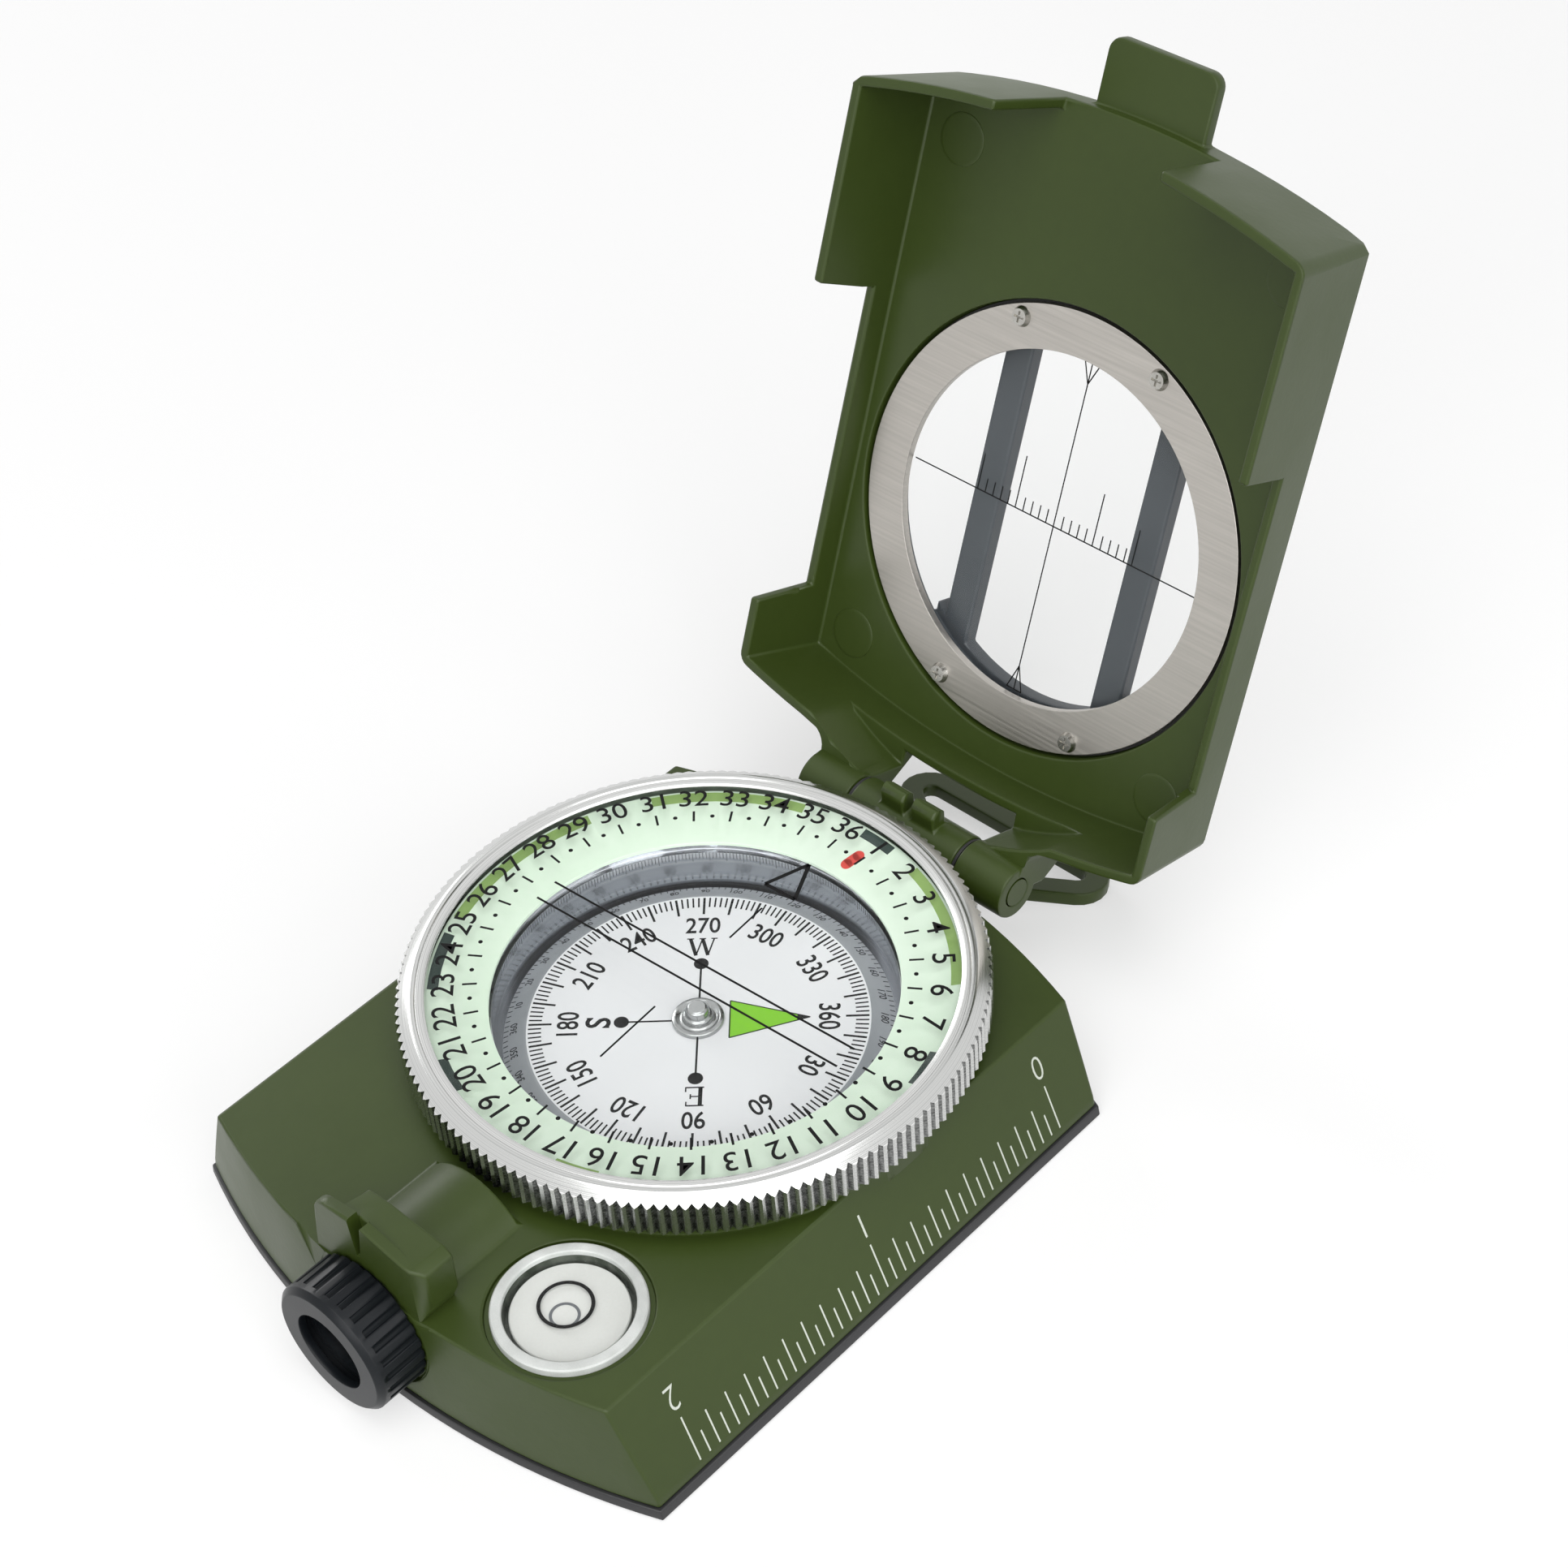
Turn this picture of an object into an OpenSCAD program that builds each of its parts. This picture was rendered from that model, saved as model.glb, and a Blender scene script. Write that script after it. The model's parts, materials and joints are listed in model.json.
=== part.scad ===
// Folding sighting compass with a liquid-free capsule dial, a knurled bezel, a bull's-eye level,
// a focusing eyepiece and a windowed lid. The origin is under the dial axis on the bottom plate,
// +X points to the ruler side, +Y to the hinge and +Z up. Lengths are in millimetres.

/* [Housing] */
// Width of the housing across its bottom edge
body_bottom_w = 62.2; // [60:0.1:65]
// Width of the housing across its top face
body_top_w = 53.2; // [50:0.1:56]
// Height of the housing above the bottom plate
body_h = 11.5; // [11:0.1:13]
// Reach of the top face in front of the dial axis, at mid width
front_reach = 43.6; // [42.5:0.1:46]
// Reach of the top face behind the dial axis, at mid width
rear_reach = 28.9; // [28.6:0.1:31]
// Radius of the bowed front end
front_bow_r = 83; // [75:1:100]
// Radius of the bowed back end
rear_bow_r = 78; // [70:1:100]
// How much the two bowed ends lean out towards the bottom
end_draft = 0.8; // [0.2:0.1:1.2]
// Height of the steep band at the foot of the housing's sides
foot_h = 1.25; // [0.8:0.05:1.6]
// How much that band leans out towards the bottom plate
foot_lean = 0.2; // [0.1:0.05:0.4]
// Thickness of the housing's walls
wall_t = 1.8; // [1.4:0.1:2.4]
// Thickness of the housing's top
deck_t = 1.8; // [1.4:0.1:2.4]
// Thickness of the bottom plate
plate_t = 1.2; // [1:0.1:2]
// How far the bottom plate stands out all round
plate_lip = 0.25; // [0:0.05:0.5]
// Distance of the plate screws from the dial axis across the housing
plate_screw_x = 25; // [24.6:0.1:25.4]
// Distance of the front plate screws from the dial axis
plate_screw_front = 32; // [31:0.5:34]
// Distance of the back plate screws from the dial axis
plate_screw_back = 17.5; // [17:0.5:19]
// Radius of the plate screws' shanks
plate_screw_r = 0.9; // [0.7:0.05:1.1]
// Length of the plate screws under their heads
plate_screw_len = 5; // [4:0.5:7]

/* [Bezel] */
// Radius over the bezel's teeth
bezel_r = 29; // [28.6:0.1:29.2]
// Height of the knurled band
band_h = 3.85; // [3.4:0.05:4.2]
// Height of the sloped shoulder over the band
shoulder_h = 0.95; // [0.6:0.05:1.2]
// Width of the sloped shoulder
shoulder_w = 1.47; // [1.1:0.05:1.6]
// Drop of the rim from its crest to the glass
rim_drop = 0.3; // [0.2:0.05:0.34]
// Number of teeth round the bezel
teeth = 156; // [120:2:180]
// Depth of the teeth
tooth_depth = 0.5; // [0.3:0.05:0.6]
// Gap between the top face and the bezel
bezel_gap = 1.5; // [1.3:0.1:1.7]
// Radius of the opening in the bezel's rim
rim_open_r = 26; // [25.8:0.05:26.2]
// Thickness of the bezel glass
bezel_glass_t = 0.75; // [0.6:0.05:0.8]
// Wall between the bezel's bore and the tooth roots
bezel_wall = 1.62; // [1.5:0.02:1.8]
// Thickness of the snap ring
snap_t = 0.5; // [0.4:0.05:0.6]
// Depth of the snap ring in each groove
snap_bite = 0.4; // [0.3:0.05:0.5]

/* [Capsule] */
// Inner radius of the capsule cup
cup_r = 20; // [19.8:0.05:20.2]
// Wall of the capsule cup
cup_wall = 1.3; // [1.2:0.05:1.5]
// Floor of the capsule cup
cup_floor = 1.2; // [1:0.1:1.6]
// Thickness of the capsule glass
capsule_glass_t = 0.9; // [0.7:0.05:1.1]
// Width of the ledge under the capsule glass
capsule_ledge = 0.6; // [0.4:0.05:0.7]
// Thickness of the green ring at its inner edge
lume_edge_t = 0.45; // [0.35:0.05:0.6]
// Rise of the green ring from its inner to its outer edge
lume_rise = 1.35; // [1.1:0.05:1.4]
// How far the green ring reaches in over the cup's wall
lume_inset = -0.1; // [-0.2:0.05:0]

/* [Dial card] */
// Radius of the white card
card_r = 17; // [16.5:0.1:17.3]
// Height of the card's face over the cup's floor
card_h = 9.3; // [9:0.1:9.6]
// Thickness of the card
card_t = 0.3; // [0.25:0.05:0.5]
// Width of the sloped skirt round the card
skirt_w = 2.4; // [2:0.1:2.5]
// Drop of the sloped skirt
skirt_drop = 1.1; // [0.8:0.1:1.4]
// Turn of the card's north mark from +X, in degrees
card_north = 41.8; // [0:0.2:90]
// Radius of the ring at the foot of the card's cap
cap_foot_r = 2.6; // [2.2:0.1:3]
// Radius of the top of the card's cap
cap_top_r = 1.2; // [1.1:0.05:1.5]
// Height of the cap over the card
cap_h = 2; // [1.8:0.1:2.2]
// Radius of the pivot post at its foot
post_r = 1; // [0.7:0.05:1.2]
// Length of the two bar magnets
magnet_l = 20; // [16:0.5:22]
// Width of a bar magnet
magnet_w = 2.2; // [1.6:0.1:3]
// Height of a bar magnet
magnet_t = 1.2; // [0.8:0.1:1.4]
// Distance of each magnet from the card's centre
magnet_x = 5; // [4.5:0.1:7]

/* [Level] */
// Place of the level across the housing
level_x = 16.1; // [15.9:0.1:16.6]
// Place of the level in front of the dial axis
level_y = 33.35; // [33:0.05:33.7]
// Radius of the level's clear cap
level_r = 7.3; // [6.8:0.1:7.4]
// Gap between the clear cap and its recess
level_gap = 0.5; // [0.2:0.05:0.6]
// Height of the clear cap over the top face
level_proud = 0.5; // [0.3:0.05:1]
// Depth of the level's recess under the top face
level_depth = 3; // [2.6:0.1:3.4]
// Wall of the clear cap
level_wall = 0.3; // [0.25:0.05:0.4]
// Radius of the flat white disc in the level
level_disc_r = 5.1; // [4.6:0.1:5.4]

/* [Sight] */
// Height of the eyepiece's axis over the bottom plate
sight_h = 7.2; // [7.15:0.05:7.4]
// Radius over the eyepiece's ridges
eye_r = 7; // [6.9:0.05:7.1]
// Length of the eyepiece ring
eye_l = 5.55; // [5.2:0.05:6]
// Radius of the eyepiece's hole
eye_hole_r = 4.15; // [3.9:0.05:4.3]
// Number of grooves round the eyepiece
eye_grooves = 26; // [22:1:30]
// Radius of each groove
eye_groove_r = 0.42; // [0.35:0.01:0.48]
// Radius of the sight tube in the housing
tube_r = 5.98; // [5.9:0.01:6.02]
// Radius of the tube's spigot, which the eyepiece turns on
spigot_r = 5.7; // [5.6:0.02:5.72]
// Radius of the lens cell
cell_r = 5; // [4.9:0.02:5.04]
// Wall of the housing round the sight tube
tube_wall = 1.17; // [1.1:0.01:1.2]
// Travel of the lens cell either way
cell_travel = 0.6; // [0.4:0.05:0.7]
// Width of the sighting bracket left of its middle
bracket_left = 7.3; // [7:0.1:7.6]
// Width of the bracket's front plate right of its middle
bracket_right = 6.8; // [6.4:0.1:7]
// Height of the bracket over the top face
bracket_h = 8; // [7.4:0.1:8.6]
// Thickness of the bracket's front plate
bracket_t = 1.3; // [1.1:0.1:1.6]
// Length of the bracket's block behind the plate
bracket_l = 4.3; // [3.8:0.1:4.6]
// Overhang of the block past the plate, on the right
bracket_over = 1.15; // [0.9:0.05:1.2]
// Width of the sighting slot at its top
slot_w = 1.9; // [1.4:0.1:2.2]
// Depth of the sighting slot
slot_depth = 4.7; // [4:0.1:5.2]

/* [Hinge and lid] */
// Opening of the lid from shut, in degrees
lid_open = 110.75; // [100:0.25:120]
// Radius of the hinge barrel
barrel_r = 2.95; // [2.7:0.05:3]
// Half the length of the hinge barrel
barrel_half = 13.8; // [12.5:0.1:15]
// Half the length of the housing's knuckle
knuckle_half = 7.1; // [6:0.1:7.4]
// Thickness of each hinge washer
washer_t = 0.3; // [0.2:0.05:0.4]
// Radius of the hinge pin
pin_r = 1.5; // [1.2:0.05:1.6]
// Distance of the hinge axis behind the top face
hinge_back = 3.25; // [3.1:0.05:3.5]
// Height of the hinge axis over the top face
hinge_up = 0.4; // [0.3:0.05:0.8]
// Height of the two lugs over the hinge axis
lug_h = 5.1; // [4.6:0.1:5.3]
// Size of each lug along the hinge
lug_w = 3; // [2.4:0.1:3.2]
// Thickness of each lug
lug_t = 2; // [1.6:0.1:2.2]
// Bevel along the two top edges of each lug
lug_bevel = 0.75; // [0.3:0.05:0.8]
// Gap between the two lugs
lug_gap = 1.1; // [0.8:0.1:1.6]
// Depth of the lid from the ring's face to its rim
lid_depth = 10.7; // [10.4:0.1:11.6]
// Thickness of the lid's back behind the ring's face
lid_back = 2.9; // [2.7:0.1:3.2]
// Height of the lid's floor over the ring's face
lid_floor = 0.3; // [0.1:0.05:0.5]
// Extra width of the lid's rim over the top face
lid_over = 0.6; // [0.4:0.1:1]
// Slope of each side wall, from back to rim
lid_draft = 1.5; // [1:0.1:2]
// Thickness of the lid's walls
lid_wall = 1.1; // [0.9:0.05:1.4]
// Distance of the lid's rear wall from the hinge axis
rear_wall_back = 3.9; // [3.7:0.05:4.1]
// Rounding between the hinge arms and the rear wall
arm_fillet = 2.3; // [1.6:0.1:2.6]
// Gap between the shut lid's rim and the top face
lid_gap = 0.57; // [0.4:0.05:0.9]
// Height of the low side walls over the ring's face
low_wall = 3; // [2:0.1:3.6]
// Reach of the low side walls towards the lid's end
low_end = 17.3; // [16.8:0.1:18]
// Reach of the low side walls towards the hinge
low_hinge = 16.4; // [16:0.1:17]
// Half the width of the gap in the lid's end wall
end_gap_half = 9.05; // [9:0.05:9.6]
// Half the width of the thumb tab
tab_half = 6.5; // [5.5:0.1:7]
// Length of the thumb tab past the end wall
tab_l = 6.1; // [5:0.1:7]
// Thickness of the thumb tab
tab_t = 1.5; // [1.2:0.1:1.8]
// Inner radius of the retaining ring
window_r = 18.5; // [17.5:0.1:18.8]
// Radius of the hole through the lid's back
cast_window_r = 19.9; // [19.4:0.1:20]
// Outer radius of the retaining ring
ring_r = 23.1; // [22.9:0.05:23.3]
// Thickness of the retaining ring
ring_t = 0.95; // [0.8:0.05:1.1]
// Radius of the lid's glass
lid_glass_r = 20.6; // [20.4:0.1:20.8]
// Thickness of the lid's glass
lid_glass_t = 0.9; // [0.7:0.05:1]
// Thickness of the lid's gasket
gasket_t = 0.3; // [0.2:0.05:0.4]
// Place of the ring screws across the window
ring_screw_x = 8.6; // [8.3:0.1:9]
// Place of the ring screws along the window
ring_screw_y = 20; // [19.9:0.05:20.1]
// Radius of the ring screws' heads
ring_head_r = 1.1; // [0.9:0.05:1.2]
// Radius of the ring screws' shanks
ring_shank_r = 0.5; // [0.4:0.05:0.55]
// Distance of each guard bar from the lid's middle
bar_x = 9.95; // [9:0.1:11]
// Width of each guard bar
bar_w = 3.3; // [2.6:0.1:3.8]
// Height of the guard bars over the lid's back
bar_h = 2; // [1.6:0.1:2.4]
// Half the length of each guard bar
bar_half = 20.5; // [20:0.1:21.5]
// Inner radius of the pads that join the guard bars' ends
pad_in_r = 19.05; // [18.8:0.05:19.3]
// Outer radius of those pads
pad_out_r = 21.8; // [21:0.1:22.5]
// How far each pad reaches past the guard bars
pad_side = 1.3; // [0.8:0.1:1.8]

/* [Lanyard loop] */
// Distance of the loop's pin behind the top face
loop_back = 3.7; // [3.5:0.1:4]
// Height of the loop's pin over the bottom plate
loop_up = 2.6; // [2.5:0.1:2.8]
// Droop of the loop, in degrees
loop_droop = 8.5; // [7:0.5:9]
// Length of the loop from its pin
loop_l = 17.2; // [15:0.1:18]
// Half the width of the loop
loop_half = 13.6; // [12:0.1:14.5]
// Width of the loop's flat band
loop_band = 2.6; // [2:0.1:3]
// Thickness of the loop
loop_t = 1.6; // [1.2:0.1:1.8]
// Radius of the loop's outer corners
loop_corner = 3.6; // [3.2:0.1:4.4]
// Half the width of the loop's neck
loop_neck = 3.2; // [2.8:0.1:3.4]
// Thickness of each ear that carries the loop
ear_t = 2.2; // [1.8:0.1:2.6]
// Radius of the loop's pin
loop_pin_r = 0.8; // [0.6:0.05:0.9]

/* [Clearances] */
// Radial clearance of pieces that turn on each other
run_gap = 0.06; // [0.04:0.01:0.08]
// Clearance of pieces that are fixed in a seat
seat_gap = 0.04; // [0.02:0.01:0.06]
// Clearance between moving faces
face_gap = 0.12; // [0.1:0.01:0.2]
// Room round the lid's barrel where it turns in the housing
barrel_gap = 0.35; // [0.3:0.05:0.5]
// Clearance between the lid's knuckles and the washers
knuckle_gap = 0.08; // [0.06:0.01:0.12]
// Clearance between the shut lid's lip and the bezel's crest
lip_gap = 0.22; // [0.15:0.01:0.4]
// Clearance between the shut lid and the bezel's teeth
relief_gap = 1.5; // [1:0.1:1.6]

/* [Hidden] */
$fn = 128;
// Overcut of openings, length of through cuts, bite of joined solids
cut = 0.5;
long = 120;
bite = 2;
// Clearance of a shank that fills its bore
bore_gap = 0.01;
// Colours of the preview
olive = "#4c5a34";
black = "#1b1c1e";
silver = "#c3c7ca";
lume = "#bfe6c0";
brassy = "#b59a55";
steel = "#9aa0a4";
clear = "#dfeef033";

// Housing: heights and places that follow from the sizes above, then its small fixed sizes
top_z = plate_t + body_h;
foot_top = plate_t + foot_h;
foot_half = body_bottom_w / 2 - foot_lean;
front_c = front_bow_r - front_reach;
rear_c = rear_reach - rear_bow_r;
hinge_y = rear_reach + hinge_back;
hinge_z = top_z + hinge_up;
boss_r = 2.6;
recess_wall = 1;
plate_head_sunk = 0.05;
plate_shank_short = 0.25;
plate_cross_l = 2.4;
plate_cross_w = 0.3;
cross_deep = 0.5;
barrel_end_gap = 0.5;
web_out = 0.4;
web_low = 4.2;
ear_r = 2;
lug_shift = 0.05;

// Bezel: heights and radii of its turned profile
bezel_z = top_z + bezel_gap;
band_top = bezel_z + band_h;
crest_z = band_top + shoulder_h;
crest_r = bezel_r - shoulder_w;
seat_step = 0.68;
bore_r = bezel_r - tooth_depth - bezel_wall;
neck_r = bore_r - run_gap;
rim_slope_w = 0.6;
rim_edge = 0.1;
rim_crest_drop = 0.07;
tooth_over = 0.02;
glass_sunk = 0.1;
glass_top = crest_z - rim_drop - glass_sunk;
glass_low = glass_top - bezel_glass_t;
neck_top = glass_low - face_gap - lume_rise - lume_edge_t;
snap_z = (bezel_z + neck_top) / 2;

// Capsule, card, cap, jewel and pivot post
well_r = cup_r + cup_wall + seat_gap;
floor_z = plate_t + cup_floor;
lume_out = 0.3;
card_z = floor_z + card_h;
skirt_flat = 0.3;
cap_roof = 0.4;
cap_step_h = 0.6;
cap_bevel = 0.2;
cap_round = 0.6;
cap_taper = 0.2;
cap_shank_t = 0.25;
cap_shank_l = 1;
jewel_r = 0.85;
jewel_h = 1;
jewel_roof = 0.32;
jewel_seat_r = 0.25;
jewel_mouth_r = 0.6;
jewel_top = card_z + cap_h - cap_roof;
post_gap = 0.1;
post_tip = jewel_top - jewel_roof - post_gap;
post_tip_r = 0.12;
post_taper = 2.2;
post_foot_r = 2.5;
post_foot_h = 0.6;
post_foot_slope = 0.4;

// Level: its tray and its clear cap
level_floor = top_z - level_depth;
level_top = top_z + level_proud;
level_disc_h = 1.6;
level_tray_drop = 1;
level_tray_edge = 0.25;
level_bevel = 0.3;
level_roof = 0.6;

// Sight: eyepiece, spigot, sliding lens cell and the lenses
sight_z = plate_t + sight_h;
eye_under = 0.1;
eye_back = front_reach - eye_under;
seat_y = eye_back - face_gap;
eye_face = eye_back + eye_l;
lip_t = 0.9;
spigot_end = eye_face - lip_t - face_gap;
cell_in = 0.1;
cell_front = spigot_end - cell_in - cell_travel;
cell_l = 8.2;
tube_behind = 0.6;
tube_end = bezel_r + tube_behind;
tube_outer = tube_r + seat_gap + tube_wall;
tube_hole_r = 3.8;
window_w = 3.2;
window_seat = 0.4;
window_in = 0.2;
window_t = 0.75;
field_r = 4.4;
field_in = 0.2;
field_t = 1.4;
eye_bevel = 0.55;
eye_room = 0.3;
groove_start = 1.2;
groove_lift = 0.35;
cell_wall = 1;
cell_lip = 0.5;
cell_pocket = 2.4;
lens_back = 0.6;
lens_t = 1.8;
lens_ball_r = 14;
retainer_t = 0.55;

// Sighting bracket: rounding, falls and corners
bracket_back = 0.4;
bracket_fall = 0.9;
bracket_round = 2;
bracket_round_in = 0.9;
bracket_round_low = 0.3;
block_left = 3.2;
block_low = 0.8;
block_ridge = 0.2;
block_bevel = 0.7;
block_neck = 5;
block_neck_h = 2.2;
block_corner = 0.9;

// Lid, in its own frame: X across, Y towards its end, Z from the ring's face to the rim
window_shift = 0.3;
lid_end_in = 0.3;
lid_v = hinge_y - window_shift;
lid_d = lid_depth + lid_gap - hinge_up;
lid_half = (body_top_w + lid_over) / 2;
lid_end = front_reach - lid_end_in;
lid_rear = lid_v - rear_wall_back;
lid_end_bow = 101;
lid_rear_bow = 104;
lid_end_lean = 0.7;
lid_h = lid_depth + lid_back;
lip_d = lid_d + hinge_z - crest_z - lip_gap;
knuckle_from = knuckle_half + washer_t + knuckle_gap;
arm_foot_in = 0.6;
arm_foot_d = 1.5;
low_end_slope = 1.2;
low_hinge_slope = 0.5;
end_gap_slope = 0.85;
tab_drop = 0.9;
tab_corner = 1.5;
bar_slope = 1.4;
recess_gap = 0.4;
gasket_out = 0.3;
gasket_in = 0.9;
ring_head_h = 0.55;
ring_head_slope = 0.25;
ring_floor = 0.6;
ring_cross_l = 1.2;
ring_cross_w = 0.24;
washer_in = 0.2;

// Lanyard loop
loop_y = rear_reach + loop_back;
loop_z = plate_t + loop_up;
eye_barrel_r = loop_t;
loop_neck_l = 0.8;
loop_pin_over = 0.15;

// Half width of the housing at height z, over its foot band and its sloped side
function half_w(z) = z < foot_top ? foot_half + foot_lean * (foot_top - z) / foot_h :
    foot_half - (foot_half - body_top_w / 2) * (z - foot_top) / (top_z - foot_top);
// Lean of the bowed ends at height z
function lean(z) = end_draft * (top_z - z) / body_h;
// Half width of the lid at depth d
function lid_w(d) = lid_half - lid_draft * (lid_depth - d) / lid_h;
// Lean of the lid's end wall at depth d
function lid_lean(d) = lid_end_lean * (lid_depth - d) / lid_h;
// Points of an arc from angle a to angle b
function arc(x, y, r, a, b, n = 12) = [for (i = [0:n]) let (t = a + (b - a) * i / n)
    [x + r * cos(t), y + r * sin(t)]];
// Point on a circle that a line from point p touches, on the side given by s
function touch(p, c, r, s) = let (q = c - p, l = norm(q), a = atan2(q.y, q.x) + s * asin(r / l))
    p + sqrt(l * l - r * r) * [cos(a), sin(a)];

// The housing's outer form between heights a and b, grown by g
module wedge(a, b, g) {
    intersection() {
        rotate([90, 0, 0]) linear_extrude(height = long, center = true) polygon([
            for (s = [1, -1], z = s > 0 ? [a, max(a, min(b, foot_top)), b] :
                [b, max(a, min(b, foot_top)), a]) [s * (half_w(z) + g), z]]);
        translate([0, front_c, a])
            cylinder(h = b - a, r1 = front_bow_r + lean(a) + g, r2 = front_bow_r + lean(b) + g);
        translate([0, rear_c, a])
            cylinder(h = b - a, r1 = rear_bow_r + lean(a) + g, r2 = rear_bow_r + lean(b) + g);
    }
}

// A disc or tube about the dial axis
module ring(r, hole, a, b) {
    translate([0, 0, a]) difference() {
        cylinder(h = b - a, r = r);
        if (hole > 0) translate([0, 0, -cut]) cylinder(h = b - a + 2 * cut, r = hole);
    }
}

// A cylinder along Y at the sight axis, from y = -a to y = -b
module sight_rod(r, a, b) {
    translate([0, -a, sight_z]) rotate([-90, 0, 0]) cylinder(h = a - b, r = r);
}

// A cylinder along X, from x = a to x = b
module cross_rod(r, a, b) {
    translate([a, 0, 0]) rotate([0, 90, 0]) cylinder(h = b - a, r = r);
}

// Puts a child at each of the four plate screws
module at_plate_screws() {
    for (s = [-1, 1]) {
        translate([s * plate_screw_x, -plate_screw_front, 0]) children();
        translate([s * plate_screw_x, plate_screw_back, 0]) children();
    }
}

// Two crossed bars of length l and width w from height z up, which cut a screw's cross slot
module cross_slot(l, w, z) {
    for (a = [0, 90]) rotate([0, 0, a]) translate([-l / 2, -w / 2, z]) cube([l, w, cross_deep]);
}

// Front plate of the sighting bracket, seen from the front, with its rounded left shoulder
module bracket_face() {
    top = top_z + bracket_h;
    polygon(concat(
        [[bracket_right, top_z - bite], [bracket_right, top - bracket_fall], [slot_w / 4, top],
            [-slot_w * 3 / 4, top]],
        arc(-bracket_left + bracket_round_in + bracket_round, top - bracket_round_low - bracket_round,
            bracket_round, 90, 175, 8),
        [[-bracket_left, top_z - bite]]));
}

// Sighting bracket: front plate, block with bevelled corners and the slot
module sight_bracket() {
    front = front_reach - bracket_back;
    top = top_z + bracket_h;
    right = bracket_right + bracket_over;
    block_top = top - block_low;
    difference() {
        union() {
            translate([0, -front + bracket_t, 0]) rotate([90, 0, 0])
                linear_extrude(height = bracket_t) bracket_face();
            intersection() {
                translate([0, 0, sight_z]) linear_extrude(height = bracket_h + body_h) polygon([
                    [-block_left, -front], [bracket_right, -front], [right, -front + block_corner],
                    [right, -front + bracket_l], [-block_left, -front + bracket_l]]);
                rotate([90, 0, 0]) linear_extrude(height = long) polygon([
                    [-block_left, sight_z], [block_neck, sight_z], [right, top_z + block_neck_h],
                    [right, block_top - block_bevel], [bracket_right, block_top],
                    [0, block_top + block_ridge], [-block_left, block_top]]);
            }
        }
        // Slot, a little off the middle and narrower at its bottom
        translate([0, -front + bracket_t + seat_gap, 0]) rotate([90, 0, 0])
            linear_extrude(height = bracket_t + cut) polygon([
                [-slot_w * 3 / 4, top + cut], [-slot_w / 2, top - slot_depth],
                [-slot_w / 4, top - slot_depth], [slot_w / 4, top + cut]]);
    }
}

// Bosses that the plate screws bite into
module screw_bosses() {
    at_plate_screws() translate([0, 0, plate_t]) cylinder(h = body_h - deck_t, r = boss_r);
}

// Hollow under the top face, round the well, the sight tube, the level and the bosses
module housing_hollow() {
    difference() {
        wedge(plate_t - cut, top_z - deck_t, -wall_t);
        ring(well_r + wall_t, 0, 0, top_z);
        sight_rod(tube_outer, long, 0);
        translate([-tube_outer, -long, 0]) cube([2 * tube_outer, long, sight_z]);
        translate([level_x, -level_y, level_floor - wall_t])
            cylinder(h = top_z, r = level_r + level_gap + recess_wall);
        screw_bosses();
        translate([-knuckle_half - wall_t, 0, 0]) cube([2 * (knuckle_half + wall_t), long, top_z]);
    }
}

// Housing's knuckle with its web and the two lugs on top
module hinge_root() {
    translate([0, hinge_y, hinge_z]) {
        cross_rod(barrel_r, -knuckle_half, knuckle_half);
        for (s = [-1, 1])
            translate([s * (lug_gap + lug_w) / 2 - lug_w / 2, lug_shift, 0]) rotate([90, 0, 90])
                linear_extrude(height = lug_w) polygon([
                    [-lug_t / 2, 0], [lug_t / 2, 0], [lug_t / 2, lug_h - lug_bevel],
                    [lug_t / 2 - lug_bevel, lug_h], [lug_bevel - lug_t / 2, lug_h],
                    [-lug_t / 2, lug_h - lug_bevel]]);
    }
    translate([-knuckle_half, 0, 0]) rotate([90, 0, 90])
        linear_extrude(height = 2 * knuckle_half) polygon([
            [rear_reach - bite, hinge_z], [hinge_y, hinge_z], [hinge_y, hinge_z - barrel_r],
            [rear_reach + web_out, plate_t + web_low], [rear_reach - bite, plate_t + web_low]]);
}

// Two ears under the knuckle that carry the lanyard loop
module loop_ears() {
    for (s = [-1, 1])
        translate([s * (loop_neck + face_gap + ear_t / 2) - ear_t / 2, 0, 0])
            rotate([90, 0, 90]) linear_extrude(height = ear_t) union() {
                translate([loop_y, loop_z]) circle(r = ear_r);
                polygon([[rear_reach - bite, loop_z - ear_r], [loop_y, loop_z - ear_r],
                    [loop_y, loop_z + ear_r], [rear_reach - bite, loop_z + ear_r]]);
            }
}

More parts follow.
